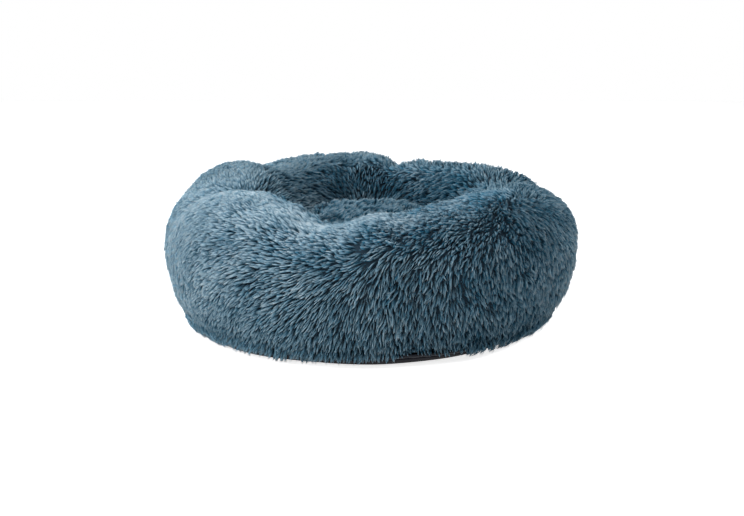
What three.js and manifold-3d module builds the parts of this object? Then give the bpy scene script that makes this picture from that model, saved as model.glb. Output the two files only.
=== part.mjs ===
// Donut pet bed: a plush ring bolster round an overstuffed cushion, on a dark zipped base.
// Millimetres, +Z up, origin on the floor at the middle of the bed. The front is -Y and right is +X.
// An azimuth is 0 at the front and grows towards the right, seen from above.
import * as THREE from "three";
import { mergeVertices } from "three/addons/utils/BufferGeometryUtils.js";
import Module from "manifold-3d";

const wasm = await Module();
wasm.setup();

// Bolster: the pile's outer surface
const bedRadius = 300;
const crestRadius = 203;
const nestRadius = 114;
const crestHeight = 206;
const bellyHeight = 117;
const sinkDepth = 6;
const upperRoundness = 2.25;
const lowerRoundness = 2.05;
const pinchDepth = 5;
const pinchSpreadDegrees = 14;
const seamDegrees = [12, 105, 170, 282];

// How the bolster's sizes vary round the bed: azimuth in degrees, share of the size
const crestHeightShares = [
  [10, 0.98], [50, 1.025], [98, 0.97], [117, 1.015], [150, 0.98], [166, 0.985], [178, 1.035],
  [205, 1.03], [231, 1.0], [251, 1.085], [281, 0.975], [304, 1.03], [320, 0.99], [340, 0.88],
];
const reachShares = [
  [0, 0.987], [45, 1.0], [105, 1.02], [135, 1.0], [180, 0.973], [225, 1.01],
  [250, 1.015], [278, 1.025], [300, 1.02], [322, 1.005],
];
const crestRadiusShares = [[0, 1.01], [180, 0.985]];
const bellyHeightShares = [[0, 1.0], [60, 1.035], [90, 1.02], [180, 1.0], [270, 0.95], [308, 0.9]];
const sinkShares = [
  [0, 0.8], [26, 0.5], [45, 0.3], [71, 1.3], [120, 0.5], [180, 0.8],
  [250, 1.4], [285, 3.0], [310, 2.2], [343, 0.8],
];

// Fur fabric and its seams
const pileThickness = 12;
const panelSeamGap = 0.5;
const seamGap = 0.4;
const bindingHeight = 3;
const bindingFaceInset = 0.5;
const bindingThickness = 4;
const innerSeamHeight = 24;
const innerTapeThickness = 1.6;
const innerTapeOverlapBolster = 3.2;
const innerTapeOverlapCushion = 4.6;

// Cushion
const crownHeight = 167;
const shoulderHeight = 130;
const crownRoundness = 2.5;
const creviceGap = 2.5;
const linerSplitHeight = 46;

// Liners and fill
const linerGap = 0.6;
const linerThickness = 1.2;
const fillGap = 0.5;

// Base
const baseThickness = 6;
const baseRimHeight = 13;
const slotClearance = 0.5;
const stripClearance = 0.3;

// Zip
const chainLength = 260;
const toothPitch = 4;
const toothWidthShare = 0.34;
const toothReach = 2;
const toothHeight = 1.8;
const toothBackWidth = 0.8;
const chainGap = 1.6;
const tapeThickness = 0.6;
const tapeWidth = 15;
const tapeTail = 14;
const stackGap = 0.3;
const stopLength = 3;
const stopWidth = 3;

// Zip slider and pull
const sliderLength = 12;
const sliderWidth = 11;
const sliderTailWidth = 9.8;
const plateThickness = 1;
const flangeWidth = 0.9;
const postLength = 3.6;
const postClearance = 0.3;
const bailLength = 8;
const bailWidth = 2.4;
const bailThickness = 0.7;
const bailFootLength = 1;
const eyeHeight = 1.7;
const pullThickness = 1;
const pullBarWidth = 1;
const pullWindowLength = 4.9;
const pullWindowWidth = 3.8;
const pullWidth = 6;
const pullTipWidth = 7;
const pullLength = 28;
const pullTipLength = 3;
const gripHoleRadius = 1.2;
const pullSideClearance = 2;

// Fineness of the faceted surfaces
const columnsPerPanel = [9, 6, 11, 9];
const sectionSteps = 20;
const cushionColumns = 26;
const wallSteps = 3;
const crownSteps = 5;
const rimSteps = 3;
const gripHoleSides = 8;

// Heights stacked up from the floor through the zip
const tapeBottom = baseThickness + stackGap;
const toothTop = tapeBottom - stackGap;
const toothBottom = toothTop - toothHeight;
const lowerPlateBottom = toothBottom - stackGap - plateThickness;
const upperPlateBottom = tapeBottom + tapeThickness + stackGap;
const fillFloor = upperPlateBottom + plateThickness + seamGap;
const pullAxisHeight = lowerPlateBottom - eyeHeight / 2;
const slotHalfWidth = sliderWidth / 2 + slotClearance;
const slotHalfLength = chainLength / 2 + pullLength + pullSideClearance;
const stripHalfWidth = slotHalfWidth - stripClearance;
const overrun = 2 * bedRadius;
const furEdgeHeight = baseRimHeight + seamGap + bindingHeight + seamGap;
const linerInset = pileThickness + linerGap;
const fillInset = linerInset + linerThickness + fillGap;

const right = Math.PI / 2;
const toRadians = THREE.MathUtils.degToRad;

// A power that keeps the sign, for the rounded sections
function signedPower(value, exponent) {
  return Math.sign(value) * Math.abs(value) ** exponent;
}

// Smooth value at an azimuth from a table of degrees and shares that goes round the bed
function shareAt(table, azimuth) {
  const turn = THREE.MathUtils.euclideanModulo(THREE.MathUtils.radToDeg(azimuth), 360);
  const sorted = [...table].sort((a, b) => a[0] - b[0]);
  const first = sorted[0];
  const last = sorted[sorted.length - 1];
  const ring = [[last[0] - 360, last[1]], ...sorted, [first[0] + 360, first[1]]];
  const next = ring.findIndex(([degrees]) => degrees > turn);
  const [fromDegrees, from] = ring[next - 1];
  const [toDegrees, to] = ring[next];
  const way = (1 - Math.cos((Math.PI * (turn - fromDegrees)) / (toDegrees - fromDegrees))) / 2;
  return from + (to - from) * way;
}

// How far the seams draw the bolster in at an azimuth
function pinchAt(azimuth) {
  const spread = toRadians(pinchSpreadDegrees);
  let pinch = 0;
  for (const seam of seamDegrees) {
    const away = azimuth - toRadians(seam);
    const apart = Math.abs(Math.atan2(Math.sin(away), Math.cos(away)));
    if (apart < spread) {
      pinch = Math.max(pinch, (1 + Math.cos((Math.PI * apart) / spread)) / 2);
    }
  }
  return pinch * pinchDepth;
}

// The bolster's sizes at an azimuth
function bolsterForm(azimuth) {
  const pinch = pinchAt(azimuth);
  const crest = crestRadius * shareAt(crestRadiusShares, azimuth);
  const belly = bellyHeight * shareAt(bellyHeightShares, azimuth);
  return {
    crest,
    belly,
    outside: bedRadius * shareAt(reachShares, azimuth) - pinch - crest,
    inside: crest - nestRadius,
    above: crestHeight * shareAt(crestHeightShares, azimuth) - pinch - belly,
    below: belly + sinkDepth * shareAt(sinkShares, azimuth),
  };
}

// Height above the belly, as the section's own angle on the outside
function angleAtHeight(form, height) {
  const rise = height - form.belly;
  const share = rise > 0 ? rise / form.above : rise / form.below;
  const roundness = rise > 0 ? upperRoundness : lowerRoundness;
  return Math.asin(signedPower(THREE.MathUtils.clamp(share, -1, 1), roundness / 2));
}

function onAzimuth(azimuth, radius, height, sideways = 0) {
  const x = radius * Math.sin(azimuth) + sideways * Math.cos(azimuth);
  const y = -radius * Math.cos(azimuth) + sideways * Math.sin(azimuth);
  return new THREE.Vector3(x, y, height);
}

// A point of the bolster's section: angle 0 faces out, a right angle is the crest, two face the nest
function bolsterPoint(azimuth, angle, inset, floor, sideways = 0) {
  const form = bolsterForm(azimuth);
  const roundness = Math.sin(angle) > 0 ? upperRoundness : lowerRoundness;
  const across = signedPower(Math.cos(angle), 2 / roundness);
  const up = signedPower(Math.sin(angle), 2 / roundness);
  const width = (across > 0 ? form.outside : form.inside) - inset;
  const height = (up > 0 ? form.above : form.below) - inset;
  const radius = form.crest + width * across;
  return onAzimuth(azimuth, radius, Math.max(form.belly + height * up, floor), sideways);
}

// A point of the cushion's side, which follows the bolster's inner wall across the crevice
function cushionWallPoint(azimuth, angle, inset, floor) {
  const form = bolsterForm(azimuth);
  const roundness = Math.sin(angle) > 0 ? upperRoundness : lowerRoundness;
  const across = Math.abs(Math.cos(angle)) ** (2 / roundness);
  const up = signedPower(Math.sin(angle), 2 / roundness);
  const radius = form.crest - (form.inside + creviceGap + inset) * across;
  const height = form.belly + (up > 0 ? form.above : form.below) * up;
  return onAzimuth(azimuth, radius, Math.max(height, floor));
}

// The cushion's crown, from its shoulder to the middle
function crownPoints(azimuth, inset) {
  const form = bolsterForm(azimuth);
  const shoulder = cushionWallPoint(azimuth, angleAtHeight(form, shoulderHeight), inset, 0);
  const radius = Math.hypot(shoulder.x, shoulder.y);
  const rise = crownHeight - inset - shoulder.z;
  const points = [];
  for (let step = 1; step <= crownSteps; step++) {
    const angle = (right * step) / crownSteps;
    const across = step < crownSteps ? Math.cos(angle) ** (2 / crownRoundness) : 0;
    const up = Math.sin(angle) ** (2 / crownRoundness);
    points.push(onAzimuth(azimuth, radius * across, shoulder.z + rise * up));
  }
  return points;
}

// The cushion's side between two of its stations, from the seam up to the shoulder
function cushionWall(azimuth, inset, from, to) {
  const form = bolsterForm(azimuth);
  const split = angleAtHeight(form, linerSplitHeight);
  const shoulder = angleAtHeight(form, shoulderHeight);
  const stations = [angleAtHeight(form, innerSeamHeight), split];
  for (let step = 1; step <= wallSteps; step++) {
    stations.push(split + ((shoulder - split) * step) / wallSteps);
  }
  return stations.slice(from, to).map((angle) => cushionWallPoint(azimuth, angle, inset, 0));
}

// Mesh building

// Collects triangles into one closed geometry
class Surface {
  constructor() {
    this.positions = [];
  }

  quad(a, b, c, d) {
    for (const corner of [a, b, c, a, c, d]) {
      this.positions.push(corner.x, corner.y, corner.z);
    }
  }

  // The band between two lines of points, facing out where the second lies at a larger azimuth
  band(here, next) {
    for (let k = 0; k + 1 < here.length; k++) {
      this.quad(here[k], next[k], next[k + 1], here[k + 1]);
    }
  }

  // The same band facing the other way, cut along the same diagonals
  bandReversed(here, next) {
    for (let k = 0; k + 1 < here.length; k++) {
      this.quad(here[k], here[k + 1], next[k + 1], next[k]);
    }
  }

  geometry() {
    const open = new THREE.BufferGeometry();
    open.setAttribute("position", new THREE.Float32BufferAttribute(this.positions, 3));
    const merged = mergeVertices(open);
    const corners = merged.index.array;
    const kept = [];
    for (let i = 0; i < corners.length; i += 3) {
      const [a, b, c] = corners.slice(i, i + 3);
      if (a !== b && b !== c && c !== a) kept.push(a, b, c);
    }
    merged.setIndex(kept);
    merged.computeVertexNormals();
    return merged;
  }
}

// A cloth or pad between two skins, all the way round or from the first column to the last
function shellGeometry(outer, inner, closed) {
  const surface = new Surface();
  const spans = closed ? outer.length : outer.length - 1;
  for (let i = 0; i < spans; i++) {
    const j = (i + 1) % outer.length;
    surface.band(outer[i], outer[j]);
    surface.bandReversed(inner[i], inner[j]);
    const end = outer[i].length - 1;
    surface.quad(inner[i][0], inner[j][0], outer[j][0], outer[i][0]);
    surface.quad(outer[i][end], outer[j][end], inner[j][end], inner[i][end]);
  }
  if (!closed) {
    const last = outer.length - 1;
    surface.bandReversed(outer[0], inner[0]);
    surface.band(outer[last], inner[last]);
  }
  return surface.geometry();
}

// A solid whose lines run from axis to axis, or close on themselves
function roundGeometry(lines) {
  const surface = new Surface();
  lines.forEach((line, i) => surface.band(line, lines[(i + 1) % lines.length]));
  return surface.geometry();
}

function solidFrom(geometry) {
  const bare = geometry.clone();
  bare.deleteAttribute("normal");
  bare.deleteAttribute("uv");
  const merged = mergeVertices(bare);
  return new wasm.Manifold(
    new wasm.Mesh({
      numProp: 3,
      vertProperties: merged.attributes.position.array,
      triVerts: new Uint32Array(merged.index.array),
    }),
  );
}

function geometryFrom(solid) {
  const mesh = solid.getMesh();
  const geometry = new THREE.BufferGeometry();
  geometry.setAttribute("position", new THREE.Float32BufferAttribute(mesh.vertProperties, 3));
  geometry.setIndex([...mesh.triVerts]);
  geometry.computeVertexNormals();
  return geometry;
}

// A box between two corners
function boxGeometry(low, high) {
  const size = high.clone().sub(low);
  const middle = low.clone().add(high).multiplyScalar(1 / 2);
  return new THREE.BoxGeometry(size.x, size.y, size.z).translate(middle.x, middle.y, middle.z);
}

function joined(geometries) {
  const solids = geometries.map(solidFrom);
  return geometryFrom(solids.reduce((sum, solid) => sum.add(solid)));
}

// A flat piece from its outline, lying between two heights
function flatGeometry(points, bottom, thickness, holes = []) {
  const outline = new THREE.Shape(points.map(([x, y]) => new THREE.Vector2(x, y)));
  outline.holes = holes;
  const geometry = new THREE.ExtrudeGeometry(outline, { depth: thickness, bevelEnabled: false });
  return geometry.translate(0, 0, bottom);
}

// Columns round the bed

// The azimuths of one fur panel, from its first seam to its second
function panelAzimuths(panel) {
  const start = toRadians(seamDegrees[panel]);
  const following = seamDegrees[(panel + 1) % seamDegrees.length];
  const end = toRadians(following > seamDegrees[panel] ? following : following + 360);
  const count = columnsPerPanel[panel];
  return Array.from({ length: count + 1 }, (_, i) => start + ((end - start) * i) / count);
}

// Every panel's columns once, for the pieces that go all the way round
function ringAzimuths() {
  return seamDegrees.flatMap((_, panel) => panelAzimuths(panel).slice(0, -1));
}

function evenAzimuths(count) {
  return Array.from({ length: count }, (_, i) => (2 * Math.PI * i) / count);
}

// The section's shared angles between two angles, with both ends. Those beyond an end fall on it,
// so that every azimuth has as many, and the skins inside one another never cross.
function sectionAngles(from, to) {
  const step = (2 * Math.PI) / sectionSteps;
  const shared = Array.from({ length: 2 * sectionSteps }, (_, i) => (i - sectionSteps / 2) * step);
  return [from, ...shared.map((angle) => THREE.MathUtils.clamp(angle, from, to)), to];
}

// Fur panels of the bolster, from the base seam over the crest to the seam at the cushion
function bolsterCover(panel) {
  const azimuths = panelAzimuths(panel);
  const last = azimuths.length - 1;
  const skin = (inset) =>
    azimuths.map((azimuth, i) => {
      const form = bolsterForm(azimuth);
      const from = angleAtHeight(form, furEdgeHeight);
      const to = Math.PI - angleAtHeight(form, innerSeamHeight);
      const sideways = i === 0 ? panelSeamGap / 2 : i === last ? -panelSeamGap / 2 : 0;
      return sectionAngles(from, to).map((angle) => bolsterPoint(azimuth, angle, inset, 0, sideways));
    });
  return shellGeometry(skin(0), skin(pileThickness), false);
}

// One half of the bolster's lining, above the belly (side 1) or below it (side -1)
function bolsterLiner(side) {
  const skin = (inset, floor) =>
    ringAzimuths().map((azimuth) => {
      const form = bolsterForm(azimuth);
      const edge = angleAtHeight(form, form.belly + side * seamGap);
      const from = side > 0 ? edge : Math.PI - edge;
      const to = side > 0 ? Math.PI - edge : 2 * Math.PI + edge;
      return sectionAngles(from, to).map((angle) => bolsterPoint(azimuth, angle, inset, floor));
    });
  const inner = skin(linerInset + linerThickness, fillFloor + linerThickness);
  return shellGeometry(skin(linerInset, fillFloor), inner, true);
}

function bolsterFill() {
  const floor = fillFloor + linerThickness + fillGap;
  const lines = ringAzimuths().map((azimuth) =>
    sectionAngles(0, 2 * Math.PI).map((angle) => bolsterPoint(azimuth, angle, fillInset, floor)),
  );
  return roundGeometry(lines);
}

// Binding that closes the seam between the fur and the base's rim
function outerSeamBinding() {
  const skin = (inset) =>
    ringAzimuths().map((azimuth) => {
      const form = bolsterForm(azimuth);
      const heights = [baseRimHeight + seamGap, baseRimHeight + seamGap + bindingHeight];
      return heights.map((height) => bolsterPoint(azimuth, angleAtHeight(form, height), inset, 0));
    });
  return shellGeometry(skin(bindingFaceInset), skin(bindingFaceInset + bindingThickness), true);
}

// Tape under the seam between the bolster's fur and the cushion's
function innerSeamTape() {
  const top = innerSeamHeight - seamGap;
  const edge = (azimuth, outwards) => {
    const form = bolsterForm(azimuth);
    const seam = bolsterPoint(azimuth, Math.PI - angleAtHeight(form, innerSeamHeight), 0, 0);
    const radius = Math.hypot(seam.x, seam.y) + outwards;
    return [top - innerTapeThickness, top].map((height) => onAzimuth(azimuth, radius, height));
  };
  const outer = ringAzimuths().map((azimuth) => edge(azimuth, innerTapeOverlapBolster));
  const inner = ringAzimuths().map((azimuth) => edge(azimuth, -innerTapeOverlapCushion));
  return shellGeometry(outer, inner, true);
}

// Cushion pieces

function cushionTop(inset, thickness, firstStation) {
  const skin = (depth) =>
    evenAzimuths(cushionColumns).map((azimuth) => [
      ...cushionWall(azimuth, depth, firstStation),
      ...crownPoints(azimuth, depth),
    ]);
  return shellGeometry(skin(inset), skin(inset + thickness), true);
}

function cushionLinerBottom() {
  const skin = (inset, floor) =>
    evenAzimuths(cushionColumns).map((azimuth) => [
      onAzimuth(azimuth, 0, floor),
      cushionFoot(azimuth, inset, floor),
      ...cushionWall(azimuth, inset, 0, 1),
      cushionLip(azimuth, inset),
    ]);
  const inner = skin(linerInset + linerThickness, fillFloor + linerThickness);
  return shellGeometry(skin(linerInset, fillFloor), inner, true);
}

function cushionFoot(azimuth, inset, floor) {
  return cushionWallPoint(azimuth, angleAtHeight(bolsterForm(azimuth), floor), inset, floor);
}

function cushionLip(azimuth, inset) {
  const height = linerSplitHeight - seamGap;
  return cushionWallPoint(azimuth, angleAtHeight(bolsterForm(azimuth), height), inset, 0);
}

function cushionFill() {
  const floor = fillFloor + linerThickness + fillGap;
  const lines = evenAzimuths(cushionColumns).map((azimuth) => [
    onAzimuth(azimuth, 0, floor),
    cushionFoot(azimuth, fillInset, floor),
    ...cushionWall(azimuth, fillInset, 0),
    ...crownPoints(azimuth, fillInset),
  ]);
  return roundGeometry(lines);
}

// Base

// The whole base as one shallow dish: flat on the floor, its rim turned up round the bolster
function baseDish() {
  const skin = (inset) =>
    ringAzimuths().map((azimuth) => {
      const form = bolsterForm(azimuth);
      const from = angleAtHeight(form, 0);
      const to = angleAtHeight(form, baseRimHeight);
      const line = [onAzimuth(azimuth, 0, inset)];
      for (let step = 0; step <= rimSteps; step++) {
        const angle = from + ((to - from) * step) / rimSteps;
        line.push(bolsterPoint(azimuth, angle, inset, inset));
      }
      return line;
    });
  return solidFrom(shellGeometry(skin(0), skin(baseThickness), true));
}

// The part of the dish inside a box that is as high as the dish
function basePiece(lowX, highX, lowY, highY) {
  const low = new THREE.Vector3(lowX, lowY, -baseThickness);
  const high = new THREE.Vector3(highX, highY, crestHeight);
  return geometryFrom(baseDish().intersect(solidFrom(boxGeometry(low, high))));
}

// Zip: it runs along X under the middle of the base, and side is -1 at the front, 1 at the rear

function zipTape(side) {
  const edges = [(side * chainGap) / 2, side * (chainGap / 2 + tapeWidth)];
  const reach = slotHalfLength + tapeTail;
  const low = new THREE.Vector3(-reach, Math.min(...edges), tapeBottom);
  const high = new THREE.Vector3(reach, Math.max(...edges), tapeBottom + tapeThickness);
  return boxGeometry(low, high);
}

// One row of teeth on its back, as a comb
function zipTeeth(side) {
  const count = Math.floor(chainLength / toothPitch);
  const tip = chainGap / 2;
  const root = tip + toothReach;
  const back = root + toothBackWidth;
  const width = toothPitch * toothWidthShare;
  const first = (-(count - 1) * toothPitch) / 2;
  const points = [[first - width / 2, side * back]];
  for (let tooth = 0; tooth < count; tooth++) {
    const from = first + tooth * toothPitch - width / 2;
    if (tooth > 0) points.push([from, side * root]);
    points.push([from, side * tip], [from + width, side * tip]);
    if (tooth < count - 1) points.push([from + width, side * root]);
  }
  points.push([-first + width / 2, side * back]);
  return flatGeometry(points, toothBottom, toothHeight);
}

function zipTopStop(side) {
  const from = chainLength / 2 + stackGap;
  const edges = [(side * chainGap) / 2, side * (chainGap / 2 + stopWidth)];
  const low = new THREE.Vector3(from, Math.min(...edges), toothBottom);
  const high = new THREE.Vector3(from + stopLength, Math.max(...edges), toothTop);
  return boxGeometry(low, high);
}

function zipBottomStop() {
  const from = -chainLength / 2 - stackGap;
  const reach = chainGap / 2 + stopWidth;
  const low = new THREE.Vector3(from - stopLength, -reach, toothBottom);
  return boxGeometry(low, new THREE.Vector3(from, reach, toothTop));
}

// Outline of the slider's plates, wider where the rows of teeth run in
function sliderOutline() {
  const end = sliderLength / 2;
  const shoulder = sliderWidth / 2;
  const tail = sliderTailWidth / 2;
  const corner = shoulder - tail;
  return [
    [-end, -tail], [0, -tail], [corner, -shoulder], [end - corner, -shoulder], [end, -tail],
    [end, tail], [end - corner, shoulder], [corner, shoulder], [0, tail], [-end, tail],
  ];
}

// A block of the slider, centred on the zip
function sliderBlock(fromX, toX, halfWidth, bottom, top) {
  const low = new THREE.Vector3(fromX, -halfWidth, bottom);
  return boxGeometry(low, new THREE.Vector3(toX, halfWidth, top));
}

// Guide along one edge of the outer plate, beside the teeth
function sliderFlange(side) {
  const outside = (side * sliderTailWidth) / 2;
  const inside = outside - side * flangeWidth;
  const low = new THREE.Vector3(-sliderLength / 2, Math.min(outside, inside), lowerPlateBottom);
  const high = new THREE.Vector3(0, Math.max(outside, inside), toothTop);
  return boxGeometry(low, high);
}

function zipSlider() {
  const half = bailLength / 2;
  const bailBottom = lowerPlateBottom - eyeHeight - bailThickness;
  const bury = plateThickness / 2;
  const postHalfWidth = chainGap / 2 - postClearance;
  const foot = (from) =>
    sliderBlock(from, from + bailFootLength, bailWidth / 2, bailBottom, lowerPlateBottom + bury);
  return joined([
    flatGeometry(sliderOutline(), lowerPlateBottom, plateThickness),
    flatGeometry(sliderOutline(), upperPlateBottom, plateThickness),
    sliderBlock(0, postLength, postHalfWidth, lowerPlateBottom + bury, upperPlateBottom + bury),
    sliderFlange(-1),
    sliderFlange(1),
    foot(-half),
    foot(half - bailFootLength),
    sliderBlock(-half, half, bailWidth / 2, bailBottom, bailBottom + bailThickness),
  ]);
}

// The pull lies along -X from the bar that passes through the bail
function zipPull() {
  const bar = pullBarWidth / 2;
  const window = -bar - pullWindowLength;
  const neck = pullWidth / 2;
  const tip = pullTipWidth / 2;
  const end = bar - pullLength;
  const outline = [
    [bar, -neck], [bar, neck], [end + pullTipLength, tip], [end, tip - pullTipLength / 2],
    [end, pullTipLength / 2 - tip], [end + pullTipLength, -tip],
  ];
  const windowHole = new THREE.Path([
    new THREE.Vector2(-bar, -pullWindowWidth / 2),
    new THREE.Vector2(-bar, pullWindowWidth / 2),
    new THREE.Vector2(window, pullWindowWidth / 2),
    new THREE.Vector2(window, -pullWindowWidth / 2),
  ]);
  const around = Array.from({ length: gripHoleSides }, (_, i) => (2 * Math.PI * i) / gripHoleSides);
  const gripMiddle = end + pullTipLength + gripHoleRadius;
  const gripHole = new THREE.Path(
    around.map(
      (angle) =>
        new THREE.Vector2(
          gripMiddle + gripHoleRadius * Math.cos(angle),
          gripHoleRadius * Math.sin(angle),
        ),
    ),
  );
  return flatGeometry(outline, -pullThickness / 2, pullThickness, [windowHole, gripHole]);
}

// Materials

function cloth(color) {
  return new THREE.MeshStandardMaterial({ color, roughness: 1, metalness: 0 });
}

const plush = cloth(0x6b8799);
const plushInNest = cloth(0x4f6e80);
const oxford = cloth(0x121418);
const webbing = cloth(0x1b1d21);
const lining = cloth(0xe6e4de);
const fibre = cloth(0xf4f3ef);
const nylon = new THREE.MeshStandardMaterial({ color: 0x16181b, roughness: 0.45, metalness: 0 });
const gunmetal = new THREE.MeshStandardMaterial({ color: 0x3a3c40, roughness: 0.35, metalness: 1 });

// Assembly

const bed = new THREE.Group();

function place(group, name, geometry, material) {
  const mesh = new THREE.Mesh(geometry, material);
  mesh.name = name;
  group.add(mesh);
  return mesh;
}

const bolster = new THREE.Group();
const panelNames = ["right_front", "right_rear", "left_rear", "left_front"];
panelNames.forEach((name, panel) => {
  place(bolster, "bolster_cover_" + name, bolsterCover(panel), plush);
});
place(bolster, "bolster_liner_top", bolsterLiner(1), lining);
place(bolster, "bolster_liner_bottom", bolsterLiner(-1), lining);
place(bolster, "bolster_fill", bolsterFill(), fibre);
bed.add(bolster);

const cushion = new THREE.Group();
place(cushion, "cushion_cover", cushionTop(0, pileThickness, 0), plushInNest);
place(cushion, "cushion_liner_top", cushionTop(linerInset, linerThickness, 1), lining);
place(cushion, "cushion_liner_bottom", cushionLinerBottom(), lining);
place(cushion, "cushion_fill", cushionFill(), fibre);
bed.add(cushion);

const seams = new THREE.Group();
place(seams, "outer_seam_binding", outerSeamBinding(), webbing);
place(seams, "inner_seam_tape", innerSeamTape(), webbing);
bed.add(seams);

const base = new THREE.Group();
place(base, "base_panel_front", basePiece(-overrun, overrun, -overrun, -slotHalfWidth), oxford);
place(base, "base_panel_rear", basePiece(-overrun, overrun, slotHalfWidth, overrun), oxford);
const stripEdges = [-stripHalfWidth, stripHalfWidth];
place(base, "zip_end_strip_left", basePiece(-overrun, -slotHalfLength, ...stripEdges), oxford);
place(base, "zip_end_strip_right", basePiece(slotHalfLength, overrun, ...stripEdges), oxford);
bed.add(base);

const zip = new THREE.Group();
for (const [name, side] of [["front", -1], ["rear", 1]]) {
  place(zip, "zip_tape_" + name, zipTape(side), webbing);
  place(zip, "zip_teeth_" + name, zipTeeth(side), nylon);
  place(zip, "zip_top_stop_" + name, zipTopStop(side), nylon);
}
place(zip, "zip_bottom_stop", zipBottomStop(), nylon);
bed.add(zip);

const slider = new THREE.Group();
slider.position.x = chainLength / 2 - sliderLength / 2;
place(slider, "zip_slider", zipSlider(), gunmetal);
const pull = place(slider, "zip_pull", zipPull(), gunmetal);
pull.position.z = pullAxisHeight;
bed.add(slider);

export default bed;
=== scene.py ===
"""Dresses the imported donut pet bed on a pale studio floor.

It makes the plush pile on its backings, the linings, the filling, the base cloth and the zip.
"""

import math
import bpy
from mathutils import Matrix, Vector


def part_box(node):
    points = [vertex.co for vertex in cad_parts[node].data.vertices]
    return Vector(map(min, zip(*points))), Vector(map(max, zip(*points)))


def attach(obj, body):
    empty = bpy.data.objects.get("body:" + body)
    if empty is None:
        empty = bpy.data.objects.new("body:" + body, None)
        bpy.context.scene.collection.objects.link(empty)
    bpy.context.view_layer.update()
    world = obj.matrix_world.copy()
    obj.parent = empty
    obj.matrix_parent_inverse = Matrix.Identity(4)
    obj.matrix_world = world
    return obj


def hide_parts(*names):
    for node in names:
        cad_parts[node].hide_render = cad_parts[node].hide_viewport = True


bl_info = {
    "name": "Donut pet bed",
    "version": (1, 0, 0),
    "blender": (4, 5, 0),
    "location": "View3D > Sidebar > Pet bed",
    "description": "Makes the soft pieces, the pile, the base and the zip of a round plush pet bed",
    "category": "Object",
}

import bpy
import numpy as np
from mathutils import Vector, kdtree

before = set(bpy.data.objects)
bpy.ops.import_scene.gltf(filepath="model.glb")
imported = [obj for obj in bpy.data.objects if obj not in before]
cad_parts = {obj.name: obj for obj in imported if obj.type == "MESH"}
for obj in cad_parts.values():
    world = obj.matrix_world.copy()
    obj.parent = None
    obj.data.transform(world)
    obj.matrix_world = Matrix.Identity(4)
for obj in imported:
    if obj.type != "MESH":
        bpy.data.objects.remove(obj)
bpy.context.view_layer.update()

MM = 0.001
TURN = 2 * math.pi

# How the bolster's sizes vary round the bed: azimuth in degrees, share of the size
CREST_HEIGHT_SHARES = (
    (10, 0.98), (50, 1.025), (98, 0.97), (117, 1.015), (150, 0.98), (166, 0.985), (178, 1.035),
    (205, 1.03), (231, 1.0), (251, 1.085), (281, 0.975), (304, 1.03), (320, 0.99), (340, 0.88),
)
REACH_SHARES = (
    (0, 0.987), (45, 1.0), (105, 1.02), (135, 1.0), (180, 0.973), (225, 1.01),
    (250, 1.015), (278, 1.025), (300, 1.02), (322, 1.005),
)
CREST_RADIUS_SHARES = ((0, 1.01), (180, 0.985))
BELLY_HEIGHT_SHARES = ((0, 1.0), (60, 1.035), (90, 1.02), (180, 1.0), (270, 0.95), (308, 0.9))
SINK_SHARES = (
    (0, 0.8), (26, 0.5), (45, 0.3), (71, 1.3), (120, 0.5), (180, 0.8),
    (250, 1.4), (285, 3.0), (310, 2.2), (343, 0.8),
)

# Bolster panels, from one seam to the next, in degrees round from the front
LEFT_SEAM = 282
PANELS = (
    ("right_front", 12, 105),
    ("right_rear", 105, 170),
    ("left_rear", 170, LEFT_SEAM),
    ("left_front", LEFT_SEAM, 372),
)

# Grooves that the panel seams draw in the pile: azimuth in degrees, spread and depth in millimetres
SEAM_GROOVES = ((12, 3.5, 4.0), (105, 4.0, 4.0), (168, 7.0, 4.5), (LEFT_SEAM, 8.0, 4.0))

# Combing of the bolster's pile: rows by their height share, from the base seam to the nest. In each row, the
# azimuth and the way the tips point there, in degrees from straight down the outside towards growing azimuth
COMBING_BY_HEIGHT_SHARE = (
    (0.13, ((0, -5), (15, 5), (30, 10), (45, 20), (300, -30), (315, -50), (332, -40), (345, -25))),
    (0.24, ((0, -15), (10, 0), (25, 5), (40, 0), (295, -20), (312, -50), (326, -50), (338, -45), (350, -35))),
    (0.35, ((0, -25), (6, -5), (18, 0), (30, -10), (42, -20), (55, -30), (288, 20), (300, -20), (312, -50))),
    (0.37, ((325, -55), (338, -55), (350, -60))),
    (0.45, ((6, -25), (14, -20), (24, -40), (36, -28), (48, -8), (60, 0), (296, -30), (308, -60))),
    (0.46, ((325, -68), (337, -70), (346, -80), (355, -100))),
    (0.53, ((4, -95), (12, -55), (20, -65), (30, -72), (40, -40), (52, 0), (110, 50))),
    (0.53, ((265, -70), (307, -88))),
    (0.54, ((322, -92), (336, -80), (350, -130))),
    (0.59, ((355, -130), (16, -72), (28, -78), (37, -98), (330, -75), (262, -70))),
    (0.66, ((54, -165), (70, 125), (120, 52), (150, 25), (172, 12), (192, -17), (215, -35), (250, -64))),
    (0.67, ((322, -80), (336, -80), (350, -84), (5, -84), (18, -78), (31, -86), (42, -104))),
    (0.8, ((100, 130), (125, 140), (150, 150), (178, 168), (205, -160))),
    (0.8, ((232, -125), (255, -110), (275, -100))),
    (0.9, ((300, -140), (330, -160), (0, 180), (30, 165), (60, 150), (85, 140))),
)

# Places where the pile is ruffled: azimuth in degrees and height share
RUFFLED_SHARES = ((357, 0.47), (8, 0.51), (24, 0.26), (36, 0.28), (44, 0.34), (7, 0.33))

# Places where the cover is pinched in, with painted shade in the pile there: azimuth in degrees, height share
# and spread in millimetres
PINCHES = (
    (358.5, 0.505, 12), (359.5, 0.44, 8), (0, 0.38, 8), (359.5, 0.32, 7),
    (24, 0.35, 10), (24.5, 0.29, 7), (10, 0.51, 8), (32, 0.26, 9),
)

# Places where the rim's pile lies lower: azimuth and spread in degrees, depth in millimetres
RIM_SAGS = ((34, 13, 5.0), (327, 9, 4.5))

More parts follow.
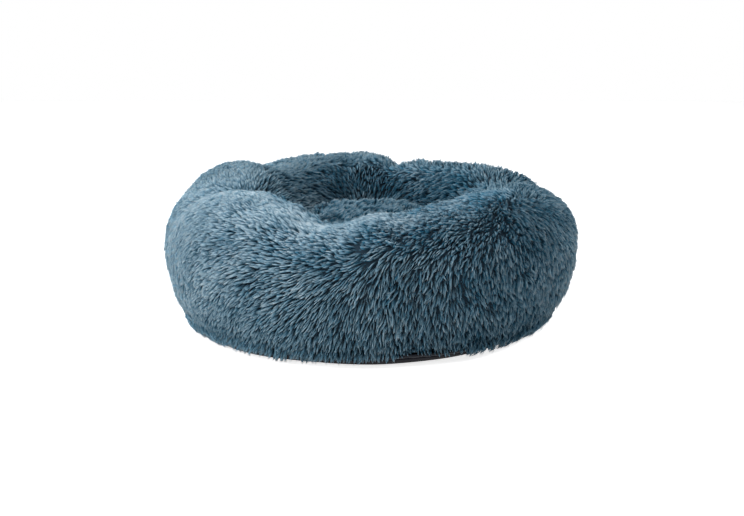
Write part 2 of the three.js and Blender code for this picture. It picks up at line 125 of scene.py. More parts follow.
# Heights of the base cloth and its edge, of the lowest backing and pile, and of the seams and the inner tape
CLOTH_FLOOR = 0.7 * MM
BASE_EDGE = 13 * MM
BASE_SEAM = 14.9 * MM
BACKING_START = 16.8 * MM
PILE_START = 17.2 * MM
INNER_TAPE = 22.8 * MM
INNER_SEAM = 24 * MM
CUSHION_SEAM = 24.4 * MM
LINING_SEAM = 46 * MM

# Thickness of the cloths, and how far inside the pile's tips and how high the layers under the pile lie
BACKING_THICKNESS = 2.6 * MM
LINING_THICKNESS = 1 * MM
BASE_THICKNESS = 5.1 * MM
CUSHION_BACKING_INSET, CUSHION_BACKING_FLOOR = 9 * MM, 12 * MM
LINING_INSET, LINING_FLOOR = 12.7 * MM, 8.6 * MM
FILLING_INSET, FILLING_FLOOR = 16 * MM, 12 * MM

# Half the width of the slot for the zip, and of the strips that close it past the zip's ends
ZIP_SLOT, STRIP_WIDTH = 6 * MM, 5.7 * MM

# Half the gap between two panels of the cover, and between the halves of the cushion's lining
PANEL_GAP, LINING_GAP = 0.25 * MM, 0.2 * MM

# Depth of the backing and of the strands' roots, as shares of the pile's thickness
BACKING_DEPTH, ROOT_DEPTH = 0.74, 0.93

# Heights at which the pile's surface starts outside and ends in the crevice, and above which it is the crest
SURFACE_START, SURFACE_END, CREST_START = 2 * MM, 112 * MM, 0.15

# How far tufts draw their locks together, where along a strand it bends, and the share of strands that stray
TUFT_PULL, BEND_PLACE, STRAYS = 0.16, 0.42, 0.04

# Lowest height of a strand's middle line and of its sides, and its thickness as a share of its width
LINE_FLOOR, STRAND_FLOOR, STRAND_FLATNESS = 0.9 * MM, 0.3 * MM, 0.75

# Cloth simulation: pressure, length in frames, how far it may move the bolster and the cushion, and the
# heights under which it leaves them as they are
PRESSURE, CLOTH_FRAMES = 4.0, 20
BOLSTER_SWELL, CUSHION_SWELL = 2.2 * MM, 2.5 * MM
BOLSTER_FOOT, CUSHION_FOOT = 0.03, 0.05

STITCH_PITCH = 4 * MM
GRIP_DOT_PITCH = 11 * MM
GRIP_DOT_RADIUS, GRIP_DOT_FLATNESS = 1.7 * MM, 0.6 / 1.7

WHITE = (1, 1, 1, 1)

# Studio lights: name, place and width in metres, power in watts. They and the camera look at the same place
LIGHTS = (
    ("key_light", (-1.7, -1.3, 0.9), 0.9, 26),
    ("top_light", (-1.1, -0.1, 1.9), 0.9, 26),
    ("side_light", (-1.9, 0.2, 1.1), 0.8, 10),
    ("front_light", (0.1, -1.5, 1.7), 0.9, 9),
    ("fill_light", (1.2, -0.9, 1.7), 0.9, 13),
    ("rim_light", (0.6, 1.9, 1.3), 0.9, 6),
    ("edge_light", (2.0, 0.4, 0.9), 0.9, 13),
)
AIM = Vector((0, 0, 0.1))

# Camera as fitted to the photo: widths in pixels and millimetres, focal length and shifts in pixels
PHOTO_WIDTH, SENSOR_WIDTH = 744, 36
FOCAL_LENGTH = 1275.5
SHIFT_X, SHIFT_Y = 0.5, -8
CAMERA_HEIGHT = math.radians(14)
CAMERA_DISTANCE = 1.9


def srgb(code):
    """Linear colour of an sRGB hex value."""
    channels = [int(code[i : i + 2], 16) / 255 for i in (1, 3, 5)]
    return tuple(c / 12.92 if c <= 0.04045 else ((c + 0.055) / 1.055) ** 2.4 for c in channels)


# Sizes and colours


class BedSizes(bpy.types.PropertyGroup):
    """Sizes of the bed, which follow the CAD frame, and of its pile"""

    bed_radius: bpy.props.FloatProperty(
        name="Bed radius", description="From the middle to the outside of the bolster",
        default=0.3, unit="LENGTH",
    )
    crest_radius: bpy.props.FloatProperty(
        name="Crest radius", description="From the middle to the bolster's crest",
        default=0.203, unit="LENGTH",
    )
    nest_radius: bpy.props.FloatProperty(
        name="Nest radius", description="From the middle to the bolster's inside",
        default=0.114, unit="LENGTH",
    )
    crest_height: bpy.props.FloatProperty(
        name="Crest height", description="Height of the bolster's crest", default=0.206, unit="LENGTH"
    )
    belly_height: bpy.props.FloatProperty(
        name="Belly height", description="Height at which the bolster is widest", default=0.117, unit="LENGTH"
    )
    sink_depth: bpy.props.FloatProperty(
        name="Sink depth", description="How far the round section is pressed flat on the floor",
        default=0.006, unit="LENGTH",
    )
    upper_roundness: bpy.props.FloatProperty(
        name="Upper roundness", description="Exponent of the section above the belly", default=2.25
    )
    lower_roundness: bpy.props.FloatProperty(
        name="Lower roundness", description="Exponent of the section below the belly", default=2.05
    )
    pinch_depth: bpy.props.FloatProperty(
        name="Pinch depth", description="How far the panel seams draw the bolster in",
        default=0.0047, unit="LENGTH",
    )
    pinch_spread: bpy.props.FloatProperty(
        name="Pinch spread", description="How far round the bed a seam draws it in",
        default=math.radians(14), subtype="ANGLE",
    )
    pile_thickness: bpy.props.FloatProperty(
        name="Pile thickness", description="From the backing's inside to the tips of the pile",
        default=0.012, unit="LENGTH",
    )
    crown_height: bpy.props.FloatProperty(
        name="Crown height", description="Height of the cushion's middle", default=0.167, unit="LENGTH"
    )
    shoulder_height: bpy.props.FloatProperty(
        name="Shoulder height", description="Height at which the cushion leaves the bolster's wall",
        default=0.13, unit="LENGTH",
    )
    crown_roundness: bpy.props.FloatProperty(
        name="Crown roundness", description="Exponent of the cushion's crown", default=2.5
    )
    crevice_gap: bpy.props.FloatProperty(
        name="Crevice gap", description="Between the bolster's wall and the cushion's",
        default=0.0025, unit="LENGTH",
    )
    strand_spacing: bpy.props.FloatProperty(
        name="Strand spacing", description="Between the strands of the pile, at their roots",
        default=0.00152, unit="LENGTH",
    )
    lock_spacing: bpy.props.FloatProperty(
        name="Lock spacing", description="Between the pointed locks that the strands gather in",
        default=0.0045, unit="LENGTH",
    )
    lock_slimness: bpy.props.FloatProperty(
        name="Lock slimness", description="How many times longer than wide a lock is where it is rooted",
        default=2.4,
    )
    tuft_spacing: bpy.props.FloatProperty(
        name="Tuft spacing", description="Between the tufts that the locks lean together in",
        default=0.014, unit="LENGTH",
    )
    lock_reach: bpy.props.FloatProperty(
        name="Lock reach", description="How far a lock lies along the surface", default=0.0125, unit="LENGTH"
    )
    strand_width: bpy.props.FloatProperty(
        name="Strand width", description="Width of a strand at its middle", default=0.00145, unit="LENGTH"
    )
    pile_relief: bpy.props.FloatProperty(
        name="Pile relief", description="How far the pile swells and sinks from place to place",
        default=0.001, unit="LENGTH",
    )


class BedColours(bpy.types.PropertyGroup):
    """Colours of the bed"""

    pile_tip: bpy.props.FloatVectorProperty(
        name="Pile tips", description="Outer end of the palest locks",
        subtype="COLOR", default=srgb("#DCDDDA"), min=0, max=1,
    )
    pile_body: bpy.props.FloatVectorProperty(
        name="Pile", description="Middle of the locks", subtype="COLOR", default=srgb("#3EA0C8"), min=0, max=1
    )
    # Dark navy at the roots: painted shade deep in the pile.
    pile_root: bpy.props.FloatVectorProperty(
        name="Pile roots", description="Inner end of the locks",
        subtype="COLOR", default=srgb("#06293C"), min=0, max=1,
    )
    # The backing's dark navy is painted shade for the gaps between the locks.
    backing: bpy.props.FloatVectorProperty(
        name="Backing", description="Knitted backing under the pile",
        subtype="COLOR", default=srgb("#1B2E3B"), min=0, max=1,
    )
    lining: bpy.props.FloatVectorProperty(
        name="Lining", description="Bags that hold the filling",
        subtype="COLOR", default=srgb("#ECEAE4"), min=0, max=1,
    )
    filling: bpy.props.FloatVectorProperty(
        name="Filling", description="Loose fibre", subtype="COLOR", default=srgb("#F4F3EF"), min=0, max=1
    )
    base_cloth: bpy.props.FloatVectorProperty(
        name="Base cloth", description="Coated cloth under the bed",
        subtype="COLOR", default=srgb("#15151C"), min=0, max=1,
    )
    trim: bpy.props.FloatVectorProperty(
        name="Trim", description="Binding, tapes and thread",
        subtype="COLOR", default=srgb("#1D2028"), min=0, max=1,
    )
    zip_plastic: bpy.props.FloatVectorProperty(
        name="Zip teeth", description="Moulded teeth and stops",
        subtype="COLOR", default=srgb("#16171B"), min=0, max=1,
    )
    zip_metal: bpy.props.FloatVectorProperty(
        name="Zip slider", description="Lacquered slider and pull",
        subtype="COLOR", default=srgb("#26282D"), min=0, max=1,
    )


def sizes():
    return bpy.context.scene.bed_sizes


def colours():
    return bpy.context.scene.bed_colours


# Form of the bed, as arrays of points


def signed_power(value, exponent):
    return np.sign(value) * np.abs(value) ** exponent


def share_at(table, azimuth):
    """Smooth value at azimuths from a table of degrees and shares that goes round the bed."""
    places = np.array(table, float)
    degrees = np.concatenate(([places[-1, 0] - 360], places[:, 0], [places[0, 0] + 360]))
    shares = np.concatenate((places[-1:, 1], places[:, 1], places[:1, 1]))
    turn = np.mod(np.degrees(azimuth), 360)
    after = np.searchsorted(degrees, turn, side="right")
    way = (1 - np.cos(math.pi * (turn - degrees[after - 1]) / (degrees[after] - degrees[after - 1]))) / 2
    return shares[after - 1] + (shares[after] - shares[after - 1]) * way


def turn_between(azimuth, other):
    """Signed turn from one azimuth to another, at most half a turn."""
    return np.mod(other - azimuth + math.pi, TURN) - math.pi


def turn_from(degrees, azimuth):
    """Signed turn from a place in degrees to azimuths."""
    return turn_between(math.radians(degrees), azimuth)


def azimuth_of(points):
    """Azimuth of points: 0 is the front, and it grows to the right."""
    return np.arctan2(points[:, 0], -points[:, 1])


def radius_of(points):
    return np.hypot(points[:, 0], points[:, 1])


def fade(value):
    """Value held between 0 and 1."""
    return np.clip(value, 0, 1)


def bell(value):
    """1 at zero, and smoothly less to both sides."""
    return np.exp(-(value**2))


def below(points, height, span):
    """0 for points above a height, rising to 1 for those that lie a span or more below it."""
    return fade((height - points[:, 2]) / span)


def ring_form(azimuth):
    """Radius of the crest, height of the belly and the four half sizes of the section."""
    size = sizes()
    pinch = np.zeros_like(azimuth)
    for _, seam, _ in PANELS:
        apart = np.abs(turn_between(azimuth, math.radians(seam)))
        near = (1 + np.cos(fade(apart / size.pinch_spread) * math.pi)) / 2
        pinch = np.maximum(pinch, near)
    pinch = pinch * size.pinch_depth
    crest = size.crest_radius * share_at(CREST_RADIUS_SHARES, azimuth)
    belly = size.belly_height * share_at(BELLY_HEIGHT_SHARES, azimuth)
    outside = size.bed_radius * share_at(REACH_SHARES, azimuth) - pinch - crest
    inside = crest - size.nest_radius
    above = size.crest_height * share_at(CREST_HEIGHT_SHARES, azimuth) - pinch - belly
    below = belly + size.sink_depth * share_at(SINK_SHARES, azimuth)
    return crest, belly, outside, inside, above, below


def angle_at_height(azimuth, height):
    """Height as the section's angle on the outside."""
    _, belly, _, _, above, below = ring_form(azimuth)
    rise = height - belly
    share = np.clip(np.where(rise > 0, rise / above, rise / below), -1, 1)
    roundness = np.where(rise > 0, sizes().upper_roundness, sizes().lower_roundness)
    return np.arcsin(signed_power(share, roundness / 2))


def at(azimuth, radius, height):
    return np.stack(np.broadcast_arrays(radius * np.sin(azimuth), -radius * np.cos(azimuth), height), -1)


def ring_point(azimuth, angle, inset):
    """Points of the bolster's section: angle 0 faces out, a right angle is the crest, two face the nest."""
    crest, belly, outside, inside, above, below = ring_form(azimuth)
    roundness = np.where(np.sin(angle) > 0, sizes().upper_roundness, sizes().lower_roundness)
    across = signed_power(np.cos(angle), 2 / roundness)
    up = signed_power(np.sin(angle), 2 / roundness)
    width = np.where(across > 0, outside, inside) - inset
    height = np.where(up > 0, above, below) - inset
    return at(azimuth, crest + width * across, belly + height * up)


def cushion_wall(azimuth, angle, inset):
    """Radius and height of the cushion's side, which follows the bolster's wall across the crevice."""
    crest, belly, _, inside, above, below = ring_form(azimuth)
    roundness = np.where(np.sin(angle) > 0, sizes().upper_roundness, sizes().lower_roundness)
    across = np.abs(np.cos(angle)) ** (2 / roundness)
    up = signed_power(np.sin(angle), 2 / roundness)
    radius = crest - (inside + sizes().crevice_gap + inset) * across
    return radius, belly + np.where(up > 0, above, below) * up


def shoulder_radius(azimuth, inset):
    return cushion_wall(azimuth, angle_at_height(azimuth, sizes().shoulder_height), inset)[0]


def crown_point(x, y, inset):
    """Points of the cushion's crown over places on the floor."""
    size = sizes()
    azimuth = np.arctan2(x, -y)
    share = np.minimum(np.hypot(x, y) / shoulder_radius(azimuth, inset), 0.999)
    angle = np.arccos(share ** (size.crown_roundness / 2))
    rise = size.crown_height - inset - size.shoulder_height
    height = size.shoulder_height + rise * np.sin(angle) ** (2 / size.crown_roundness)
    return np.stack((x, y, height), -1)


def ripple(points, wavelength, seed):
    """Smooth random values between about -1 and 1 at points, from waves in random directions."""
    rng = np.random.default_rng(seed)
    total = np.zeros(len(points))
    for _ in range(7):
        direction = rng.normal(size=3)
        direction *= TURN / (wavelength * rng.uniform(0.7, 1.5) * np.linalg.norm(direction))
        total += np.sin(points @ direction + rng.uniform(0, TURN))
    return total / 3


def unit(vectors):
    return vectors / np.maximum(np.linalg.norm(vectors, axis=-1, keepdims=True), 1e-12)


# Mesh helpers


def deselect():
    if bpy.context.object and bpy.context.object.mode != "OBJECT":
        bpy.ops.object.mode_set(mode="OBJECT")
    bpy.ops.object.select_all(action="DESELECT")


def activate(obj):
    deselect()
    obj.select_set(True)
    bpy.context.view_layer.objects.active = obj


def primitive(name, add, **options):
    """A new object from one of the operators that add a mesh."""
    deselect()
    add(**options)
    made = bpy.context.object
    made.name = made.data.name = name
    return made


def points_of(mesh):
    points = np.empty(len(mesh.vertices) * 3)
    mesh.vertices.foreach_get("co", points)
    return points.reshape(-1, 3)


def move_points(mesh, points):
    mesh.vertices.foreach_set("co", np.asarray(points, np.float32).ravel())
    mesh.update()


def in_edit_mode(obj, *steps):
    """Runs mesh operators on all of an object in edit mode."""
    activate(obj)
    bpy.ops.object.mode_set(mode="EDIT")
    for step, options in steps:
        bpy.ops.mesh.select_all(action="SELECT")
        step(**options)
    bpy.ops.object.mode_set(mode="OBJECT")


def on_faces(obj, chosen, step, **options):
    """Runs a mesh operator on the faces that a mask marks."""
    activate(obj)
    bpy.ops.object.mode_set(mode="EDIT")
    bpy.ops.mesh.select_all(action="DESELECT")
    bpy.ops.mesh.select_mode(type="FACE")
    bpy.ops.object.mode_set(mode="OBJECT")
    obj.data.polygons.foreach_set("select", chosen)
    bpy.ops.object.mode_set(mode="EDIT")
    step(**options)
    bpy.ops.mesh.select_mode(type="VERT")
    bpy.ops.object.mode_set(mode="OBJECT")


def face_middles(obj):
    middles = np.empty(len(obj.data.polygons) * 3)
    obj.data.polygons.foreach_get("center", middles)
    return middles.reshape(-1, 3)


def cut_away(obj, place, normal):
    """Cuts a piece along a plane and deletes what lies on the side that the normal points to."""
    options = {"plane_co": place, "plane_no": normal, "clear_outer": True, "use_fill": False}
    in_edit_mode(obj, (bpy.ops.mesh.bisect, options))


def apply_modifier(obj, kind, **settings):
    modifier = obj.modifiers.new(kind.title(), kind)
    for name, value in settings.items():
        setattr(modifier, name, value)
    activate(obj)
    bpy.ops.object.modifier_apply(modifier=modifier.name)


def bevelled(obj, width, segments, degrees):
    """Rounds off the edges that turn by more than an angle, and smooths the rest."""
    angle = math.radians(degrees)
    apply_modifier(obj, "BEVEL", width=width, segments=segments, limit_method="ANGLE", angle_limit=angle)
    smooth(obj, degrees)


def smooth(obj, degrees=None):
    activate(obj)
    if degrees is None:
        bpy.ops.object.shade_smooth()
    else:
        bpy.ops.object.shade_smooth_by_angle(angle=math.radians(degrees))


def copy_of(obj, name):
    """A piece's copy with its own mesh."""
    made = obj.copy()
    made.data = obj.data.copy()
    made.name = made.data.name = name
    bpy.context.scene.collection.objects.link(made)
    return made


def linked_object(name, data):
    """An object of a mesh or other data, in the scene."""
    made = bpy.data.objects.new(name, data)
    bpy.context.scene.collection.objects.link(made)
    return made


def cad_copy(node, name):
    """A merged copy of a CAD node, ready to be shaped."""
    made = linked_object(name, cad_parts[node].data.copy())
    made.data.name = name
    made.data.materials.clear()
    in_edit_mode(made, (bpy.ops.mesh.remove_doubles, {"threshold": 1e-5}))
    return made


def remove(obj):
    mesh = obj.data
    bpy.data.objects.remove(obj)
    bpy.data.meshes.remove(mesh)


def finish_piece(obj, material, body="bed", nodes=()):
    """Gives a piece its material and body, and hides the CAD nodes it stands for."""
    obj.data.materials.clear()
    obj.data.materials.append(material_named(material))
    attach(obj, body)
    if nodes:
        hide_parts(*nodes)


def wrapped_ring(name, columns, rows, place):
    """A torus whose points are moved to place(azimuth, angle)."""
    middle = 0.2
    counts = {"major_segments": columns, "minor_segments": rows}
    obj = primitive(name, bpy.ops.mesh.primitive_torus_add, **counts, major_radius=middle, minor_radius=0.08)
    points = points_of(obj.data)
    angle = np.arctan2(points[:, 2], radius_of(points) - middle)
    move_points(obj.data, place(azimuth_of(points), angle))
    return obj


def wrapped_disc(name, columns, rows, place):
    """A grid rolled round the middle, its points moved to place(azimuth, share from the middle out)."""
    counts = {"x_subdivisions": columns, "y_subdivisions": rows}
    obj = primitive(name, bpy.ops.mesh.primitive_grid_add, **counts, size=1)
    points = points_of(obj.data)
    move_points(obj.data, place((points[:, 0] + 0.5) * TURN, points[:, 1] + 0.5))
    in_edit_mode(
        obj,
        (bpy.ops.mesh.remove_doubles, {"threshold": 1e-5}),
        (bpy.ops.mesh.normals_make_consistent, {"inside": False}),
    )
    return obj


def copies(name, template, places, x_axis, z_axis):
    """One mesh of a template's copies, each at a place and turned to its axes."""
    points = points_of(template.data)
    x_axes, z_axes = np.broadcast_to(x_axis, places.shape), np.broadcast_to(z_axis, places.shape)
    y_axes = np.cross(z_axes, x_axes)
    turned = (
        points[None, :, :1] * x_axes[:, None]
        + points[None, :, 1:2] * y_axes[:, None]
        + points[None, :, 2:] * z_axes[:, None]
        + places[:, None]
    )
    faces = [list(face.vertices) for face in template.data.polygons]
    starts = range(0, len(places) * len(points), len(points))
    mesh = bpy.data.meshes.new(name)
    shifted = [[v + start for v in face] for start in starts for face in faces]
    mesh.from_pydata(turned.reshape(-1, 3), [], shifted)
    return linked_object(name, mesh)


# Materials


def wire(tree, node, inputs):
    """Gives a node's inputs a value or another node's output."""
    for name, value in inputs.items():
        if isinstance(value, bpy.types.NodeSocket):
            tree.links.new(value, node.inputs[name])
        else:
            node.inputs[name].default_value = value
    return node


def add_node(tree, kind, settings=(), inputs=()):
    """Adds a node and gives it settings and inputs."""
    node = tree.nodes.new(kind)
    for name, value in dict(settings).items():
        setattr(node, name, value)
    return wire(tree, node, dict(inputs))


def calculated(tree, operation, *values):
    """Result of an operation on values or other nodes' outputs."""
    return add_node(tree, "ShaderNodeMath", {"operation": operation}, enumerate(values)).outputs[0]


def place_on(tree, scale, rotation=(0, 0, 0)):
    """Object coordinates, in units of 1 / scale metres."""
    source = add_node(tree, "ShaderNodeTexCoord").outputs["Object"]
    inputs = {"Vector": source, "Scale": (scale, scale, scale), "Rotation": rotation}
    return add_node(tree, "ShaderNodeMapping", inputs=inputs).outputs["Vector"]


def texture(tree, kind, output, size, **inputs):
    """Output of a texture that lies on the object, with features of a size in metres."""
    inputs = {"Vector": place_on(tree, 1 / size), "Scale": 1.0, **inputs}
    return add_node(tree, kind, inputs=inputs).outputs[output]


def cells(tree, size, **inputs):
    return texture(tree, "ShaderNodeTexVoronoi", "Distance", size, **inputs)


def noise(tree, size, **inputs):
    return texture(tree, "ShaderNodeTexNoise", "Fac", size, **inputs)


def split(tree, vector):
    """X and Y of a vector."""
    parts = add_node(tree, "ShaderNodeSeparateXYZ", inputs={"Vector": vector})
    return parts.outputs["X"], parts.outputs["Y"]


def blended(tree, factor, one, other, **settings):
    """Output of two colours mixed by a factor."""
    inputs = {"Factor": factor, "A": one, "B": other}
    return add_node(tree, "ShaderNodeMix", {"data_type": "RGBA", **settings}, inputs).outputs["Result"]


def ramp(tree, factor, *stops):
    """A colour ramp's output, from places and linear colours."""
    node = add_node(tree, "ShaderNodeValToRGB", inputs={"Fac": factor})
    elements = node.color_ramp.elements
    while len(elements) < len(stops):
        elements.new(0.5)
    for element, (place, colour) in zip(elements, stops):
        element.position = place
        element.color = (*colour, 1)
    return node.outputs["Color"]


def mixed(colour, other, share):
    return tuple(a + (b - a) * share for a, b in zip(colour, other))


def scaled(colour, factor):
    return tuple(c * factor for c in colour)


def grey(level):
    return (level, level, level)


def bump(tree, height, distance, strength):
    """Normals of a relief, its distance in metres."""
    inputs = {"Height": height, "Distance": distance, "Strength": strength}
    return add_node(tree, "ShaderNodeBump", inputs=inputs).outputs["Normal"]


def seen_directly(tree):
    """1 for rays from the camera, straight or by way of glossy and clear things, and 0 for the rest."""
    rays = add_node(tree, "ShaderNodeLightPath").outputs
    mirrored = calculated(tree, "MAXIMUM", rays["Is Glossy Ray"], rays["Is Transmission Ray"])
    return calculated(tree, "MAXIMUM", rays["Is Camera Ray"], mirrored)


def brushed_pile(tree):
    """Long brushed polyester: dark where it is rooted, which is painted shade deep in the pile, frosted
    towards the tips, with a soft sheen.
    """
    colour = colours()
    across, up = split(tree, add_node(tree, "ShaderNodeUVMap", {"uv_map": "OFBake"}).outputs["UV"])
    root, body, tip = tuple(colour.pile_root), tuple(colour.pile_body), tuple(colour.pile_tip)
    # A darker copy of the colour, for darker locks and for painted shade: the gaps between locks, the inner
    # wall and the shaded side.
    dark = ramp(
        tree,
        up,
        (0.0, scaled(root, 0.3)),
        (0.5, mixed(root, body, 0.05)),
        (0.85, mixed(root, body, 0.48)),
        (1.0, scaled(mixed(body, tip, 0.13), 0.85)),
    )
    # A paler copy of the colour, for paler locks and for painted light where the lamps fall.
    pale = ramp(
        tree,
        up,
        (0.0, mixed(root, body, 0.1)),
        (0.45, scaled(mixed(body, tip, 0.22), 0.62)),
        (0.75, mixed(body, tip, 0.56)),
        (1.0, tip),
    )
    # The strand's shade in the UV map mixes the two copies, so it carries painted light and shade as well as
    # the locks' own tone.
    look = {"Base Color": blended(tree, across, dark, pale), "Roughness": 0.62, "IOR": 1.54}
    sheen = {"Sheen Weight": 0.35, "Sheen Roughness": 0.35, "Sheen Tint": (*srgb("#ACC8D4"), 1)}
    return {**look, "Specular IOR Level": 0.0, **sheen}


def knitted_backing(tree):
    """Knitted polyester backing, seen only between the locks: its dark colour is painted shade for the gaps
    there.
    """
    loops = cells(tree, 1.2 * MM)
    base = tuple(colours().backing)
    tone = ramp(tree, loops, (0.0, scaled(base, 1.2)), (0.9, scaled(base, 0.55)))
    look = {"Base Color": tone, "Roughness": 0.9, "IOR": 1.54, "Specular IOR Level": 0.15}
    return {**look, "Normal": bump(tree, loops, 0.4 * MM, 0.6)}


def spunbond_lining(tree):
    """Thin spunbond cloth, point bonded: off-white with a grid of tiny dimples."""
    dimples = cells(tree, 1.6 * MM, Randomness=0.15)
    base = tuple(colours().lining)
    tone = ramp(tree, dimples, (0.0, scaled(base, 0.8)), (0.35, base))
    return {"Base Color": tone, "Roughness": 0.85, "IOR": 1.49, "Normal": bump(tree, dimples, 0.3 * MM, 0.7)}


def polyester_fibrefill(tree):
    """Loose hollow polyester fibre: white, cloudy and without gloss."""
    cloud = noise(tree, 14 * MM, Detail=8.0, Roughness=0.7)
    base = tuple(colours().filling)
    tone = ramp(tree, cloud, (0.3, scaled(base, 0.82)), (0.65, base))
    return {"Base Color": tone, "Roughness": 0.95, "Normal": bump(tree, cloud, 3 * MM, 0.8)}


def woven(tree, colour, pitch, depth, roughness, specular, turned=0.0):
    """A plain weave: crossed threads drawn by tone and relief, worn a little paler in patches."""
    x, y = split(tree, place_on(tree, TURN / (2 * pitch), (0, 0, turned)))
    crossing = calculated(tree, "MULTIPLY", calculated(tree, "SINE", x), calculated(tree, "SINE", y))
    threads = calculated(tree, "MULTIPLY_ADD", crossing, 0.5, 0.5)
    tone = ramp(tree, threads, (0.0, scaled(colour, 0.6)), (1.0, scaled(colour, 1.25)))
    patches = ramp(tree, noise(tree, 35 * MM, Detail=4.0), (0.35, grey(1)), (0.75, grey(0.72)))
    worn = blended(tree, 1.0, tone, patches, blend_type="MULTIPLY")
    look = {"Base Color": worn, "Roughness": roughness, "IOR": 1.54, "Specular IOR Level": specular}
    return {**look, "Normal": bump(tree, threads, depth, 0.7)}


def coated_oxford(tree):
    """Polyester oxford with a coating inside, dull navy black, its threads drawn twice as coarse to show."""
    return woven(tree, tuple(colours().base_cloth), 1.1 * MM, 0.25 * MM, 0.85, 0.12)


def woven_tape(tree):
    """Flat polyester tape, woven fine and dyed black: its ribs give a dull sheen."""
    return woven(tree, tuple(colours().trim), 0.7 * MM, 0.15 * MM, 0.7, 0.3, math.radians(45))


def moulded(tree, grain, roughness):
    """Moulded plastic: even colour, with a fine grain from the mould that breaks up the gloss."""
    colour = tuple(colours().zip_plastic)
    mottle = noise(tree, grain, Detail=3.0)
    tone = ramp(tree, mottle, (0.3, scaled(colour, 0.9)), (0.7, scaled(colour, 1.12)))
    return {"Base Color": tone, "Roughness": roughness, "Normal": bump(tree, mottle, 0.03 * MM, 0.5)}


def soft_vinyl(tree):
    return moulded(tree, 0.6 * MM, 0.45)


def moulded_acetal(tree):
    return moulded(tree, 0.5 * MM, 0.35)


def lacquered_zinc(tree):
    """Die-cast zinc in dark lacquer: glossy, a little paler and rougher in small random patches."""
    base = tuple(colours().zip_metal)
    rub = noise(tree, 1.5 * MM, Detail=5.0)
    tone = ramp(tree, rub, (0.45, base), (0.75, scaled(base, 1.9)))
    gloss = ramp(tree, rub, (0.4, grey(0.24)), (0.75, grey(0.42)))
    return {"Base Color": tone, "Roughness": gloss, "Coat Weight": 0.5, "Coat Roughness": 0.15}


def studio_floor(tree):
    """A pale floor that shows itself a little lighter than it lights the bed."""
    glow = calculated(tree, "MULTIPLY", seen_directly(tree), 0.8)
    look = {"Base Color": (*srgb("#F2F2F2"), 1), "Roughness": 0.9, "Specular IOR Level": 0.1}
    return {**look, "Emission Color": WHITE, "Emission Strength": glow}


MATERIALS = {
    "brushed polyester pile": brushed_pile,
    "knitted polyester backing": knitted_backing,
    "spunbond polypropylene lining": spunbond_lining,
    "loose polyester fibrefill": polyester_fibrefill,
    "coated polyester oxford": coated_oxford,
    "woven polyester tape": woven_tape,
    "bonded polyester thread": woven_tape,
    "woven zip tape": woven_tape,
    "soft vinyl grip dots": soft_vinyl,
    "moulded acetal teeth": moulded_acetal,
    "lacquered die-cast zinc": lacquered_zinc,
    "pale studio floor": studio_floor,
}


def material_named(name):
    """The material of that name, made once: its function gives the shader's inputs."""
    material = bpy.data.materials.get(name)
    if material is None:
        material = bpy.data.materials.new(name)
        material.use_nodes = True
        tree = material.node_tree
        wire(tree, tree.nodes["Principled BSDF"], MATERIALS[name](tree))
    return material


# Soft body: the stuffed forms under the pile


def puff_up(obj, sewn, cap):
    """Lets the cloth of a closed form swell between its sewn points, no point moving more than the cap."""
    scene = bpy.context.scene
    start = points_of(obj.data)
    group = obj.vertex_groups.new(name="sewn")
    group.add([int(i) for i in np.flatnonzero(sewn)], 1.0, "REPLACE")
    modifier = obj.modifiers.new("Cloth", "CLOTH")
    cloth = modifier.settings
    cloth.quality = 4
    cloth.mass = 0.3
    cloth.tension_stiffness = cloth.compression_stiffness = 12
    cloth.shear_stiffness = 4
    cloth.bending_stiffness = 0.4
    cloth.use_pressure = True
    cloth.uniform_pressure_force = PRESSURE
    cloth.vertex_group_mass = group.name
    cloth.effector_weights.gravity = 0
    modifier.collision_settings.use_collision = False
    modifier.point_cache.frame_start, modifier.point_cache.frame_end = 1, CLOTH_FRAMES
    for number in range(1, CLOTH_FRAMES + 1):
        scene.frame_set(number)
    activate(obj)
    bpy.ops.object.modifier_apply(modifier=modifier.name)
    scene.frame_set(1)
    moved = points_of(obj.data) - start
    far = np.linalg.norm(moved, axis=1, keepdims=True)
    move_points(obj.data, start + moved * np.minimum(1, cap / np.maximum(far, 1e-9)))
    obj.vertex_groups.clear()


def near_seam(azimuth, spread):
    """Whether azimuths lie within a spread of a panel seam."""
    found = np.zeros(len(azimuth), bool)
    for _, seam, _ in PANELS:
        found |= np.abs(turn_between(azimuth, math.radians(seam))) < spread
    return found


def finish_cloth(piece, thickness, material, node):
    """Thickens a cloth inwards and finishes the piece."""
    apply_modifier(piece, "SOLIDIFY", thickness=thickness, offset=-1)
    smooth(piece, 60)
    finish_piece(piece, material, nodes=[node])


def finish_backing(piece, node):
    finish_cloth(piece, BACKING_THICKNESS, "knitted polyester backing", node)


def finish_lining(piece, node):
    finish_cloth(piece, LINING_THICKNESS, "spunbond polypropylene lining", node)


def finish_filling(piece, node):
    smooth(piece)
    finish_piece(piece, "loose polyester fibrefill", nodes=[node])


def lumpy(points, middle, depth, seed):
    """Points drawn towards a middle in soft lumps, their depth in millimetres."""
    return points + unit(middle - points) * (depth + depth * ripple(points, 30 * MM, seed))[:, None] * MM


